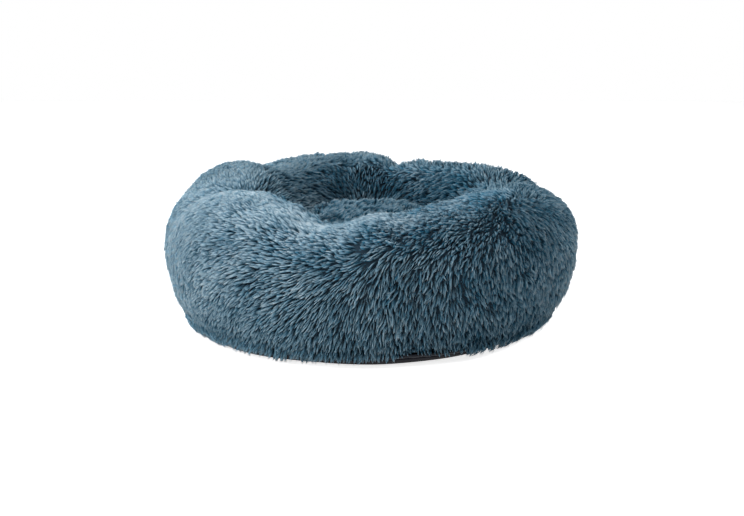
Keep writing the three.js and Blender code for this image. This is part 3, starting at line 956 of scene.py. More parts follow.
class BED_OT_bolster_body(bpy.types.Operator):
    """Make the bolster's four cover backings, its lining and its filling"""

    bl_idname = "bed.bolster_body"
    bl_label = "Bolster body"

    def execute(self, context):
        self.backings()
        for half, sign in (("top", 1), ("bottom", -1)):
            piece = wrapped_ring(f"bolster_lining_{half}", 144, 40, self.lining_place)
            middles = face_middles(piece)
            belly = ring_form(azimuth_of(middles))[1]
            on_faces(piece, (middles[:, 2] - belly) * sign < 0, bpy.ops.mesh.delete, type="FACE")
            finish_lining(piece, f"bolster_liner_{half}")
        filling = wrapped_ring("bolster_filling", 144, 40, self.filling_place)
        finish_filling(filling, "bolster_fill")
        return {"FINISHED"}

    def backings(self):
        size = sizes()
        body = wrapped_ring("bolster_body", 180, 56, self.backing_place)
        points = points_of(body.data)
        sewn = near_seam(azimuth_of(points), math.radians(1.6)) | (points[:, 2] < BOLSTER_FOOT)
        puff_up(body, sewn, BOLSTER_SWELL)
        for panel, start, end in PANELS:
            piece = copy_of(body, f"bolster_backing_{panel}")
            for degrees, side in ((start, -1), (end, 1)):
                turn = math.radians(degrees)
                along = Vector((math.cos(turn), math.sin(turn), 0)) * side
                cut_away(piece, -along * PANEL_GAP, along)
            cut_away(piece, (0, 0, BACKING_START), (0, 0, -1))
            middles = face_middles(piece)
            under = (radius_of(middles) < size.crest_radius) & (middles[:, 2] < INNER_SEAM)
            on_faces(piece, under, bpy.ops.mesh.delete, type="FACE")
            finish_backing(piece, f"bolster_cover_{panel}")
        remove(body)

    def backing_place(self, azimuth, angle):
        return ring_point(azimuth, angle, sizes().pile_thickness * BACKING_DEPTH)

    def lining_place(self, azimuth, angle, inset=LINING_INSET, floor=LINING_FLOOR):
        points = ring_point(azimuth, angle, inset)
        points[:, 2] = np.maximum(points[:, 2], floor)
        return points

    def filling_place(self, azimuth, angle):
        points = self.lining_place(azimuth, angle, FILLING_INSET, FILLING_FLOOR)
        return lumpy(points, at(azimuth_of(points), sizes().crest_radius, sizes().belly_height), 0.7, 3)


class BED_OT_cushion_body(bpy.types.Operator):
    """Make the cushion's cover backing, its lining and its filling"""

    bl_idname = "bed.cushion_body"
    bl_label = "Cushion body"

    def execute(self, context):
        body = wrapped_disc("cushion_body", 96, 60, self.backing_place)
        puff_up(body, points_of(body.data)[:, 2] < CUSHION_FOOT, CUSHION_SWELL)
        cover = copy_of(body, "cushion_backing")
        cut_away(cover, (0, 0, CUSHION_SEAM), (0, 0, -1))
        finish_backing(cover, "cushion_cover")
        remove(body)
        for half, keep in (("top", 1), ("bottom", -1)):
            piece = wrapped_disc(f"cushion_lining_{half}", 72, 40, self.lining_place)
            cut_away(piece, (0, 0, LINING_SEAM + keep * LINING_GAP), (0, 0, -keep))
            finish_lining(piece, f"cushion_liner_{half}")
        filling = wrapped_disc("cushion_filling", 72, 40, self.filling_place)
        middle = np.array([0, 0, sizes().shoulder_height * 0.6])
        move_points(filling.data, lumpy(points_of(filling.data), middle, 0.8, 5))
        finish_filling(filling, "cushion_fill")
        return {"FINISHED"}

    def backing_place(self, azimuth, share):
        return self.profile(azimuth, share, CUSHION_BACKING_INSET, CUSHION_BACKING_FLOOR)

    def lining_place(self, azimuth, share):
        return self.profile(azimuth, share, LINING_INSET, LINING_FLOOR)

    def filling_place(self, azimuth, share):
        return self.profile(azimuth, share, FILLING_INSET, FILLING_FLOOR)

    def profile(self, azimuth, share, inset, floor):
        """Points from the middle of the crown (share 0) down the side to the bottom's middle (1)."""
        size = sizes()
        crown_end, side_end = 0.45, 0.85
        over = fade(share / crown_end) * math.pi / 2
        radius = shoulder_radius(azimuth, inset) * np.sin(over) ** (2 / size.crown_roundness)
        rise = size.crown_height - inset - size.shoulder_height
        height = size.shoulder_height + rise * np.maximum(np.cos(over), 0) ** (2 / size.crown_roundness)
        down = fade((share - crown_end) / (side_end - crown_end))
        top = angle_at_height(azimuth, size.shoulder_height)
        foot = angle_at_height(azimuth, floor)
        wall_radius, wall_height = cushion_wall(azimuth, top + (foot - top) * down, inset)
        inwards = 1 - fade((share - side_end) / (1 - side_end))
        radius = np.where(share > crown_end, wall_radius * inwards, radius)
        height = np.where(share > crown_end, wall_height, height)
        return at(azimuth, radius, np.maximum(height, floor))


# Pile


class PileSurface:
    """A surface that pile grows on, with its places as two numbers each."""

    def sunk(self, place, depth):
        """Points at a depth under the surface."""
        return self.surface(place) - self.normal(place) * depth[:, None]

    def round_row(self, rng, count):
        """Azimuths spread evenly but not in line."""
        return (np.arange(count) + rng.random(count)) / count * TURN


class RingPile(PileSurface):
    """The bolster's surface, from the base's rim (share 0) over the crest into the crevice (share 1)."""

    columns, rows = 720, 240

    def __init__(self):
        azimuth = np.linspace(0, TURN, self.columns + 1)
        start = angle_at_height(azimuth, SURFACE_START)
        end = math.pi - angle_at_height(azimuth, SURFACE_END)
        fine = np.linspace(0, 1, 401)
        angles = start[:, None] + (end - start)[:, None] * fine
        points = ring_point(azimuth[:, None], angles, 0)
        steps = np.linalg.norm(np.diff(points, axis=1), axis=2)
        gone = np.concatenate((np.zeros((len(azimuth), 1)), np.cumsum(steps, 1)), 1)
        even = np.linspace(0, 1, self.rows + 1)
        angles = np.array([np.interp(even * g[-1], g, a) for g, a in zip(gone, angles)])
        self.points = ring_point(azimuth[:, None], angles, 0)
        self.length = gone[:, -1]
        along = np.gradient(self.points, axis=0)
        along[0] = along[-1] = self.points[1] - self.points[-2]
        self.normals = unit(np.cross(unit(along), unit(np.gradient(self.points, axis=1))))

    def look_up(self, table, place):
        """Values of a table between its columns and rows."""
        column = np.mod(place[:, 0] / TURN, 1) * self.columns
        i = np.minimum(column.astype(int), self.columns - 1)
        f = (column - i)[:, None]
        row = fade(place[:, 1]) * self.rows
        j = np.minimum(row.astype(int), self.rows - 1)
        g = (row - j)[:, None]
        near = table[i, j] * (1 - g) + table[i, j + 1] * g
        far = table[i + 1, j] * (1 - g) + table[i + 1, j + 1] * g
        return near * (1 - f) + far * f

    def surface(self, place):
        return self.look_up(self.points, place)

    def normal(self, place):
        return unit(self.look_up(self.normals, place))

    def spots(self, places):
        """Points at places given in degrees and height shares."""
        return self.surface(np.array([(math.radians(turn), share) for turn, share in places]))

    def advance(self, place, lean, reach):
        """Places a reach further on: lean 0 is down the outside, a right angle along the ring."""
        azimuth = place[:, 0] + reach * np.sin(lean) / radius_of(self.surface(place))
        around = np.linspace(0, TURN, self.columns + 1)
        length = np.interp(np.mod(place[:, 0], TURN), around, self.length)
        return np.stack((azimuth, place[:, 1] - reach * np.cos(lean) / length), 1)

    def between(self, place, other, way):
        """Places part of the way to other places."""
        azimuth = place[:, 0] + turn_between(place[:, 0], other[:, 0]) * way
        return np.stack((azimuth, place[:, 1] + (other[:, 1] - place[:, 1]) * way), 1)

    def scatter(self, spacing, seed):
        """Places spread evenly but not in line, above the base seam."""
        rng = np.random.default_rng(seed)
        rows = int(self.length.mean() / spacing)
        found = []
        for row in range(rows):
            share = (row + 0.5) / rows
            ring = self.points[:-1, int(share * self.rows)]
            count = int(TURN * radius_of(ring).mean() / spacing)
            azimuth = self.round_row(rng, count)
            found.append(np.stack((azimuth, share + (rng.random(count) - 0.5) / rows), 1))
        found = np.concatenate(found)
        return found[(self.surface(found)[:, 2] > PILE_START) & (found[:, 1] < 0.995)]


class CrownPile(PileSurface):
    """The cushion's surface, by places on the floor."""

    def surface(self, place):
        return crown_point(place[:, 0], place[:, 1], 0)

    def normal(self, place):
        step = 0.5 * MM
        x, y = place[:, 0], place[:, 1]
        slope_x = (crown_point(x + step, y, 0)[:, 2] - crown_point(x - step, y, 0)[:, 2]) / (2 * step)
        slope_y = (crown_point(x, y + step, 0)[:, 2] - crown_point(x, y - step, 0)[:, 2]) / (2 * step)
        return unit(np.stack((-slope_x, -slope_y, np.ones(len(x))), 1))

    def advance(self, place, lean, reach):
        """Places a reach further on: lean 0 is towards the front, a right angle to the right."""
        level = self.normal(place)[:, 2]
        way = np.stack((np.sin(lean), -np.cos(lean)), 1)
        return place + way * (reach * (0.45 + 0.55 * level))[:, None]

    def between(self, place, other, way):
        return place + (other - place) * np.reshape(way, (-1, 1) if np.ndim(way) else ())

    def scatter(self, spacing, seed):
        """Places spread evenly but not in line, in rows round the crown's middle."""
        size = sizes()
        rng = np.random.default_rng(seed)
        angles = np.linspace(0, math.pi / 2, 200)
        share = np.sin(angles) ** (2 / size.crown_roundness)
        mean = shoulder_radius(np.linspace(0, TURN, 90), 0).mean()
        height = (size.crown_height - size.shoulder_height) * np.cos(angles) ** (2 / size.crown_roundness)
        gone = np.concatenate(([0], np.cumsum(np.hypot(np.diff(share * mean), np.diff(height)))))
        rows = int(gone[-1] / spacing)
        found = []
        for row in range(rows):
            reach = np.interp((row + 0.5) / rows * gone[-1], gone, share)
            count = max(3, int(TURN * reach * mean / spacing))
            azimuth = self.round_row(rng, count)
            jitter = (rng.random(count) - 0.5) / rows * gone[-1]
            radius = np.clip(reach + jitter / mean, 0.002, 0.995) * shoulder_radius(azimuth, 0)
            found.append(at(azimuth, radius, 0)[:, :2])
        return np.concatenate(found)


def nearest(points, centres, count=1):
    """Indices of the centres nearest to each point."""
    tree = kdtree.KDTree(len(centres))
    for i, centre in enumerate(centres):
        tree.insert(centre, i)
    tree.balance()
    return np.array([[found[1] for found in tree.find_n(point, count)] for point in points])


def in_locks(points, headings, locks, slimness):
    """The lock that each strand belongs to, and how far from the lock's middle line it is rooted."""
    candidates = nearest(points, locks, 7)
    offsets = points[:, None] - locks[candidates]
    along = np.einsum("nkc,nc->nk", offsets, headings)
    across = np.sqrt(np.maximum(np.sum(offsets**2, 2) - along**2, 0))
    choice = np.argmin(across**2 + (along / slimness) ** 2, 1)
    rows = np.arange(len(points))
    return candidates[rows, choice], across[rows, choice]


def strand_template():
    """One strand, upright on a unit height: three-sided, full at its bend and pointed at both ends."""
    form = {"vertices": 3, "radius1": 0.5, "radius2": 0, "depth": 0.5, "location": (0, 0, 0.75)}
    strand = primitive("strand", bpy.ops.mesh.primitive_cone_add, **form)
    activate(strand)
    bpy.ops.object.transform_apply(location=True, rotation=True, scale=True)
    under = [face.normal.z < -0.9 for face in strand.data.polygons]
    on_faces(strand, under, bpy.ops.mesh.poke, offset=0.5)
    points = points_of(strand.data)
    faces = np.array([tuple(face.vertices) for face in strand.data.polygons])
    remove(strand)
    return points, faces


def pile_lean(points, table, spread):
    """Which way the pile is combed at points: as at the places near them, or straight down far from any."""
    east, north = 0.0, 0.12
    for place, lean in table:
        weight = np.exp(-np.sum((points - place) ** 2, 1) / (2 * spread**2))
        east, north = east + weight * math.sin(lean), north + weight * math.cos(lean)
    return np.arctan2(east, north)


def grow_pile(surface, lean_at, reach_at, lift_at, tone_and_painted_light_at, parted_at, seed):
    """Places, roots, middles, tips, normals, shades and girths of strands in pointed locks and leaning tufts.

    At each point, the functions give the way the pile leans, how far it lies over, how far it is lifted,
    its tone with painted light and shade, and how far its locks are parted, where 1 is as usual.
    """
    size = sizes()
    rng = np.random.default_rng(seed)
    tufts = surface.scatter(size.tuft_spacing, seed + 1)
    locks = surface.scatter(size.lock_spacing, seed + 2)
    strands = surface.scatter(size.strand_spacing, seed + 3)
    tuft_points, lock_points = surface.surface(tufts), surface.surface(locks)
    strand_points = surface.surface(strands)

    tuft_lean = lean_at(tuft_points) + rng.normal(0, 0.14, len(tufts)) * parted_at(tuft_points)
    tuft_tips = surface.advance(tufts, tuft_lean, reach_at(tuft_points) * rng.uniform(0.8, 1.25, len(tufts)))
    tuft_lift = rng.normal(0, 0.5, len(tufts)) * MM
    in_tuft = nearest(lock_points, tuft_points)[:, 0]
    lock_lean = lean_at(lock_points) + rng.normal(0, 0.13, len(locks)) * parted_at(lock_points)
    lock_reach = reach_at(lock_points) * rng.uniform(0.75, 1.3, len(locks))
    lock_tips = surface.advance(locks, lock_lean, lock_reach)
    lock_tips = surface.between(lock_tips, tuft_tips[in_tuft], TUFT_PULL)
    uneven = rng.normal(0, 1.25, len(locks)) * np.maximum(parted_at(lock_points), 0.6)
    lock_depth = np.clip(1.6 + uneven, -0.8, 5.0) * MM - tuft_lift[in_tuft]
    lock_depth -= lift_at(lock_points, rng.random(len(tufts))[in_tuft])
    # The lock's tone: the painted light and shade of its place, plus random tone from lock to lock.
    lock_tone_and_painted_light = tone_and_painted_light_at(lock_points) + 0.12 * ripple(lock_points, 60 * MM, seed)
    lock_tone_and_painted_light += rng.normal(0, 0.1, len(locks))

    lean = lean_at(strand_points)
    headings = unit(surface.surface(surface.advance(strands, lean, 1 * MM)) - strand_points)
    mine, off_line = in_locks(strand_points, headings, lock_points, size.lock_slimness)
    edge = fade(off_line / (size.lock_spacing / math.sqrt(size.lock_slimness) * 0.6))
    own = surface.advance(strands, lock_lean[mine] + rng.normal(0, 0.1, len(strands)), lock_reach[mine])
    parted = parted_at(strand_points)
    gathered = np.clip(rng.uniform(0.55, 0.85, len(strands)) * (0.35 + 0.65 * parted), 0, 0.94)
    tips = surface.between(own, lock_tips[mine], gathered)
    middles = surface.between(strands, tips, BEND_PLACE)
    depth = lock_depth[mine] + (rng.uniform(0, 1.2, len(strands)) + 2.2 * parted * edge**2) * MM
    stray = rng.random(len(strands)) < STRAYS
    depth = np.where(stray, lock_depth[mine] - rng.uniform(1, 2.5, len(strands)) * MM, depth)
    hanging = below(surface.surface(tips), 20 * MM, 6 * MM)
    depth = depth + hanging * (np.minimum(depth - 4.2 * MM, -0.4 * MM) - depth)
    arch = 1.6 + rng.uniform(0, 1.4, len(strands)) + 1.2 * edge
    arch = arch * (0.35 + 0.65 * np.minimum(parted, 1.3)) * MM
    bend = depth + arch + hanging * (0.8 * MM - arch)
    root = surface.sunk(strands, np.full(len(strands), size.pile_thickness * ROOT_DEPTH))
    middle = surface.sunk(middles, bend)
    tip = surface.sunk(tips, depth)
    # Painted shade: strands at a lock's edge are darker, the more so the more the locks part, to draw the
    # gaps between locks, and deeper strands are darker; lock middles are a little paler where the locks part.
    shade = lock_tone_and_painted_light[mine] + 0.08 + 0.14 * parted - 0.48 * parted * edge - depth / MM * 0.02
    # Random tone from strand to strand, and painted light on the hanging strands, whose underside lies in
    # shade.
    shade += rng.normal(0, 0.1, len(strands)) * np.minimum(0.4 + 0.6 * parted, 1.3) + 0.2 * hanging
    shade = np.clip(shade, 0.02, 0.98)
    girth = size.strand_width * rng.uniform(0.8, 1.2, len(strands)) * np.where(stray, 0.55, 1)
    return strands, root, middle, tip, surface.normal(strands), shade, girth


def pile_mesh(name, template, root, middle, tip, normal, shade, girth):
    """One mesh of strands, with a UV map: across is the strand's shade, up is from its root to its tip."""
    points, faces = template
    lines = np.stack((root, middle, tip), 1)
    station = np.rint(points[:, 2] * 2).astype(int)
    lines[:, :, 2] = np.maximum(lines[:, :, 2], LINE_FLOOR)
    heading = unit(np.stack((middle - root, tip - root, tip - middle), 1))
    side = unit(np.cross(heading, normal[:, None]))
    rise = np.cross(side, heading)
    spot = (
        lines[:, station]
        + side[:, station] * points[None, :, :1] * girth[:, None, None]
        + rise[:, station] * (points[:, 1] * STRAND_FLATNESS)[None, :, None] * girth[:, None, None]
    )
    spot[:, :, 2] = np.maximum(spot[:, :, 2], STRAND_FLOOR)
    count, step = len(root), len(points)
    corners = (faces[None] + np.arange(count)[:, None, None] * step).reshape(-1)
    mesh = bpy.data.meshes.new(name)
    mesh.vertices.add(count * step)
    mesh.vertices.foreach_set("co", spot.astype(np.float32).ravel())
    mesh.loops.add(len(corners))
    mesh.loops.foreach_set("vertex_index", corners.astype(np.int32))
    mesh.polygons.add(len(corners) // 3)
    mesh.polygons.foreach_set("loop_start", np.arange(0, len(corners), 3, dtype=np.int32))
    mesh.update(calc_edges=True)
    across = np.arctan2(points[:, 1], points[:, 0]) / TURN + 0.5
    up = np.clip(points[:, 2], 0.01, 0.99) + np.where(points[:, 2] < 0.1, across * 0.02, 0)
    face_u = np.array([[across[v] for v in face] for face in faces])
    face_u[:, 0] += 0.11
    u = shade[:, None, None] * 0.98 + 0.005 + 0.012 * face_u[None]
    v = np.broadcast_to(up[faces][None], (count, *faces.shape))
    layer = mesh.uv_layers.new(name="OFBake")
    layer.data.foreach_set("uv", np.stack((u, v), -1).astype(np.float32).ravel())
    mesh.polygons.foreach_set("use_smooth", np.ones(len(corners) // 3, bool))
    mesh.update()
    return linked_object(name, mesh)


class BED_OT_bolster_pile(bpy.types.Operator):
    """Grow the bolster's long pile, combed as it lies on the bed"""

    bl_idname = "bed.bolster_pile"
    bl_label = "Bolster pile"

    def execute(self, context):
        size = sizes()
        surface = RingPile()
        combed = [
            (surface.spots([(turn, share)])[0], math.radians(lean))
            for share, row in COMBING_BY_HEIGHT_SHARE
            for turn, lean in row
        ]
        ruffled = surface.spots(RUFFLED_SHARES)

        def ruffle(points):
            """How ruffled the pile is at points, from 0 to 1."""
            apart = np.min(np.linalg.norm(points[:, None] - ruffled, axis=2), axis=1)
            return bell(apart / (11 * MM))

        def pinched(points):
            """How far the cover is pinched in at points, from 0 to 1."""
            far = np.zeros(len(points))
            for turn, share, spread in PINCHES:
                apart = np.linalg.norm(points - surface.spots([(turn, share)]), axis=1)
                far = np.maximum(far, bell(apart / (spread * MM)))
            return far

        def lean_at(points):
            swirl = 0.13 * ripple(points, 90 * MM, 11)
            swirl = swirl + (0.12 + 0.9 * ruffle(points)) * ripple(points, 30 * MM, 12)
            return pile_lean(points, combed, 26 * MM) + swirl

        def reach_at(points):
            """Locks hang over the base's rim, but for the front right, where they are short."""
            azimuth = np.degrees(azimuth_of(points))
            lifted = fade(2.3 - np.abs(azimuth - 18) / 5.5)
            thin = fade(1.5 - np.abs(azimuth - 2) / 11)
            low = below(points, 45 * MM, 20 * MM)
            share = 1 + low * (0.7 - 0.75 * thin - 1.5 * lifted)
            return size.lock_reach * np.maximum(share, 0.12) * (1 + 0.15 * ripple(points, 50 * MM, 13))

        def lift_at(points, chance):
            """The pile swells in soft waves, stands up along the crest and is drawn in along the seams.

            The panel in front of the left seam swells over it, and the one behind it sinks.
            """
            azimuth = azimuth_of(points)
            crest = ring_form(azimuth)[0]
            radius = radius_of(points)
            top = bell((radius - crest) / (22 * MM)) * (points[:, 2] > CREST_START)
            inner = fade((crest - 25 * MM - radius) / (25 * MM)) * chance**2 * 5 * MM
            drawn = 8 * MM * pinched(points)
            for seam, spread, depth in SEAM_GROOVES:
                apart = turn_from(seam, azimuth) * radius
                drawn = np.maximum(drawn, bell(apart / (spread * MM)) * depth * MM)
            for turn, spread, depth in RIM_SAGS:
                apart = turn_from(turn, azimuth) / math.radians(spread)
                near_rim = bell((radius - crest) / (34 * MM)) * (points[:, 2] > CREST_START)
                drawn = np.maximum(drawn, bell(apart) * depth * MM * near_rim)
            past = turn_from(LEFT_SEAM, azimuth) * radius / (16 * MM)
            swollen = past * bell(past) * 2.3 * 3 * MM * (points[:, 2] > 0.1)
            waves = ripple(points, 95 * MM, 14) + 0.6 * ripple(points, 42 * MM, 15)
            tufts = chance**2 * 3.5 * MM + ripple(points, 26 * MM, 16) * MM
            low = below(points, 45 * MM, 25 * MM)
            ragged = 0.25 + 0.75 * fade(0.5 + points[:, 1] / 0.16)
            return size.pile_relief * waves + top * ragged * tufts + inner + swollen - drawn + low * 1.6 * MM

        def tone_and_painted_light_at(points):
            """The pile's tone, mostly painted light and shade: paler where the lamps fall and at the foot,
            darker in the nest, in the pinches and towards the bottom.
            """
            azimuth = azimuth_of(points)
            past = radius_of(points) - size.crest_radius
            inside = fade((-12 * MM - past) / (35 * MM))
            rim = bell(past / (26 * MM)) * (points[:, 2] > CREST_START) * fade(np.abs(points[:, 1]) / 0.1)
            right = bell(turn_from(60, azimuth) / 0.5)
            rim = rim * (1 - 0.9 * right - 0.45 * bell(turn_from(148, azimuth) / 0.4))
            low = below(points, 85 * MM, 60 * MM)
            foot = below(points, 24 * MM, 10 * MM)
            # Painted light and shade: paler on the left, where the key light falls, and darker on the right.
            left = np.cos(turn_from(285, azimuth))
            # Painted light on the right side and its rear, below the crest.
            far = fade((azimuth - 0.75) / 0.5) * fade((2.3 - azimuth) / 0.6)
            far = far * below(points, 0.18, 0.05)
            lit = np.maximum(left, 0)
            # Darker towards the bottom, and painted light at the foot, most on the left, on the underside
            # that lies in shade.
            tone = 0.3 + 0.1 * left + 0.26 * lit**2 + 0.34 * far - 0.16 * low + (0.2 + 0.4 * lit) * foot
            # Painted shade in the hollow on the left of the nest.
            hollow = bell(turn_from(300, azimuth) / 0.6) * inside
            # A little darker on the front left halfway up, and on the crest at the right.
            front = bell(turn_from(332, azimuth) / 0.3)
            front = front * fade((points[:, 2] - 0.05) / 0.04) * (points[:, 2] < 0.17)
            tone -= 0.06 * right * (points[:, 2] > CREST_START) + 0.1 * front
            # Painted shade on the inner wall and in the pinches, and painted light along the rim, least at
            # the right and right rear.
            return tone - 0.15 * inside**2 - 0.35 * hollow + 0.32 * rim - 0.32 * pinched(points)

        def parted_at(points):
            """The locks lie close on the left, part more and more to the right, and part in the nest; the
            more they part, the more painted shade their gaps get.
            """
            azimuth = azimuth_of(points)
            inside = fade((size.crest_radius - 25 * MM - radius_of(points)) / (25 * MM))
            rim = bell((radius_of(points) - size.crest_radius) / (30 * MM))
            rim = rim * (points[:, 2] > CREST_START) * fade(-points[:, 1] / 0.1)
            round_bed = np.maximum(1.2 + 1.3 * np.cos(turn_from(70, azimuth)), 0.25)
            hem = below(points, 60 * MM, 40 * MM)
            apart = np.maximum(round_bed * (1 - 0.45 * rim), 1.5 * inside)
            return np.maximum(apart, 1.1 * hem) + 0.6 * pinched(points)

        places, *strands = grow_pile(surface, lean_at, reach_at, lift_at, tone_and_painted_light_at, parted_at, 20)
        azimuth = np.mod(np.degrees(places[:, 0]), 360)
        template = strand_template()
        for panel, start, end in PANELS:
            parts = 3 if end - start > 80 else 2
            for part in range(parts):
                low, high = (start + (end - start) * edge / parts for edge in (part, part + 1))
                mine = np.mod(azimuth - low, 360) < high - low
                name = f"bolster_pile_{panel}_{part + 1}"
                piece = pile_mesh(name, template, *(values[mine] for values in strands))
                finish_piece(piece, "brushed polyester pile", nodes=[f"bolster_cover_{panel}"])
        return {"FINISHED"}


class BED_OT_cushion_pile(bpy.types.Operator):
    """Grow the cushion's pile"""

    bl_idname = "bed.cushion_pile"
    bl_label = "Cushion pile"

    def execute(self, context):
        size = sizes()

        def edge_share(points):
            """How near points are to the cushion's edge, where the pile leans out over the crevice."""
            return radius_of(points) / shoulder_radius(azimuth_of(points), 0)

        def lean_at(points):
            swirl = 0.5 * ripple(points, 80 * MM, 31) + 0.35 * ripple(points, 30 * MM, 32)
            combed = math.radians(110) + math.radians(45) * points[:, 0] / (80 * MM) + swirl
            outward = fade((edge_share(points) - 0.72) / 0.22)
            return combed + turn_between(combed, azimuth_of(points)) * outward

        def reach_at(points):
            longer = 0.5 * fade((edge_share(points) - 0.85) / 0.15)
            return size.lock_reach * (0.85 + longer) * (1 + 0.12 * ripple(points, 40 * MM, 33))

        def lift_at(points, chance):
            waves = ripple(points, 70 * MM, 34) + ripple(points, 30 * MM, 35)
            return size.pile_relief * waves + chance**2 * 6.5 * MM

        def tone_and_painted_light_at(points):
            return np.full(len(points), 0.22)

        def parted_at(points):
            # The cushion's locks part widely, which also gives the gaps between them much painted shade.
            return np.full(len(points), 2.2)

        _, *strands = grow_pile(CrownPile(), lean_at, reach_at, lift_at, tone_and_painted_light_at, parted_at, 40)
        piece = pile_mesh("cushion_pile", strand_template(), *strands)
        finish_piece(piece, "brushed polyester pile", nodes=["cushion_cover"])
        return {"FINISHED"}


# Base


def stitch_template():
    """One stitch of thread, along X: a round bead drawn long, its ends sunk in the cloth."""
    stitch = primitive("stitch", bpy.ops.mesh.primitive_uv_sphere_add, segments=6, ring_count=4, radius=1)
    activate(stitch)
    bpy.ops.transform.resize(value=(1.35 * MM, 0.32 * MM, 0.32 * MM))
    bpy.ops.object.transform_apply(location=True, rotation=True, scale=True)
    return stitch


def stitched(name, places, along, normal):
    """A row of stitches at places."""
    template = stitch_template()
    row = copies(name, template, places, unit(along), unit(normal))
    remove(template)
    smooth(row)
    finish_piece(row, "bonded polyester thread")


def foot_radius(azimuth):
    """Radius at which the base's cloth leaves the floor."""
    return radius_of(ring_point(azimuth, angle_at_height(azimuth, CLOTH_FLOOR), 0))


def squared(angle):
    """A circle's angle as a place on a soft-cornered square, from -1 to 1 each way."""
    return signed_power(np.cos(angle), 0.5), signed_power(np.sin(angle), 0.5)


class BED_OT_base(bpy.types.Operator):
    """Make the base's cloth panels, its grip dots, its binding and its tapes"""

    bl_idname = "bed.base"
    bl_label = "Base"

    def execute(self, context):
        dish = wrapped_disc("base_dish", 240, 48, self.dish)
        for name, sign in (("front", -1), ("rear", 1)):
            panel = copy_of(dish, f"base_cloth_{name}")
            cut_away(panel, (0, sign * ZIP_SLOT, 0), (0, -sign, 0))
            self.finish_panel(panel, f"base_panel_{name}")
            self.grip_dots(f"grip_dots_{name}", sign)
            self.seam_stitches(f"zip_seam_stitches_{name}", sign)
        for name, sign in (("left", -1), ("right", 1)):
            strip = copy_of(dish, f"base_strip_{name}")
            for side in (1, -1):
                cut_away(strip, (0, side * STRIP_WIDTH, 0), (0, side, 0))
            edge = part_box(f"zip_end_strip_{name}")[0 if sign > 0 else 1].x
            cut_away(strip, (edge, 0, 0), (-sign, 0, 0))
            self.finish_panel(strip, f"zip_end_strip_{name}")
        remove(dish)
        self.binding()
        self.inner_tape()
        return {"FINISHED"}

    def dish(self, azimuth, share):
        """The base's outer face: flat on its grip dots, then turned up round the bolster."""
        flat = 0.8
        low = angle_at_height(azimuth, CLOTH_FLOOR)
        high = angle_at_height(azimuth, BASE_EDGE)
        up = fade((share - flat) / (1 - flat))
        rim = ring_point(azimuth, low + (high - low) * up, 0)
        radius = np.where(share < flat, foot_radius(azimuth) * share / flat, radius_of(rim))
        height = np.where(share < flat, CLOTH_FLOOR, np.maximum(rim[:, 2], CLOTH_FLOOR))
        return at(azimuth, radius, height)

    def finish_panel(self, panel, node):
        """Thickens a panel up to the tapes, with soft edges, and finishes it."""
        in_edit_mode(panel, (bpy.ops.mesh.normals_make_consistent, {"inside": False}))
        facing_down = np.mean([face.normal.z for face in panel.data.polygons]) < 0
        apply_modifier(panel, "SOLIDIFY", thickness=BASE_THICKNESS, offset=-1 if facing_down else 1)
        bevelled(panel, 1.2 * MM, 3, 50)
        finish_piece(panel, "coated polyester oxford", nodes=[node])

    def grip_dots(self, name, sign):
        """Rows of flattened dots on one half of the base, each row shifted by half a pitch."""
        form = {"segments": 8, "ring_count": 6, "radius": GRIP_DOT_RADIUS}
        dot = primitive("dot", bpy.ops.mesh.primitive_uv_sphere_add, **form)
        cut_away(dot, (0, 0, 0.02 * MM), (0, 0, 1))
        move_points(dot.data, points_of(dot.data) * (1, 1, GRIP_DOT_FLATNESS) + (0, 0, 0.72 * MM))
        places = np.array(
            [
                ((x + row % 2 / 2) * GRIP_DOT_PITCH, sign * (ZIP_SLOT + row * GRIP_DOT_PITCH * 0.87), 0)
                for row in range(1, 21)
                for x in range(-21, 22)
            ]
        )
        places = places[radius_of(places) < foot_radius(azimuth_of(places)) - 9 * MM]
        dots = copies(name, dot, places, (1.0, 0.0, 0.0), (0.0, 0.0, 1.0))
        remove(dot)
        smooth(dots)
        finish_piece(dots, "soft vinyl grip dots")

    def seam_stitches(self, name, sign):
        places = np.array([(x * STITCH_PITCH, sign * 9 * MM, 0.68 * MM) for x in range(-50, 51)])
        stitched(name, places, (1.0, 0.0, 0.0), (0.0, 0.0, -1.0))

    def binding(self):
        ring = wrapped_ring("base_seam_binding", 360, 12, self.binding_place)
        smooth(ring)
        finish_piece(ring, "woven polyester tape", nodes=["outer_seam_binding"])
        azimuth = np.arange(0, TURN, STITCH_PITCH / 0.25)
        places, ahead = (self.at_base_seam(azimuth + turn) for turn in (0, 0.004))
        stitched("binding_stitches", places, ahead - places, places * (1, 1, 0))

    def binding_place(self, azimuth, angle):
        across, up = squared(angle)
        height = BASE_SEAM + up * 1.45 * MM
        inset = (2.5 - 2.0 * across - 0.25 * np.sin(azimuth * 90)) * MM
        return ring_point(azimuth, angle_at_height(azimuth, height), inset)

    def at_base_seam(self, azimuth):
        height = np.full(len(azimuth), BASE_SEAM)
        return ring_point(azimuth, angle_at_height(azimuth, height), 0.55 * MM)

    def inner_tape(self):
        tape = wrapped_ring("inner_tape", 180, 12, self.tape_place)
        smooth(tape)
        finish_piece(tape, "woven polyester tape", nodes=["inner_seam_tape"])

    def tape_place(self, azimuth, angle):
        across, up = squared(angle)
        seam = ring_point(azimuth, math.pi - angle_at_height(azimuth, INNER_SEAM), 0)
        return at(azimuth, radius_of(seam) + (-0.7 + 3.9 * across) * MM, INNER_TAPE + up * 0.75 * MM)


# Zip


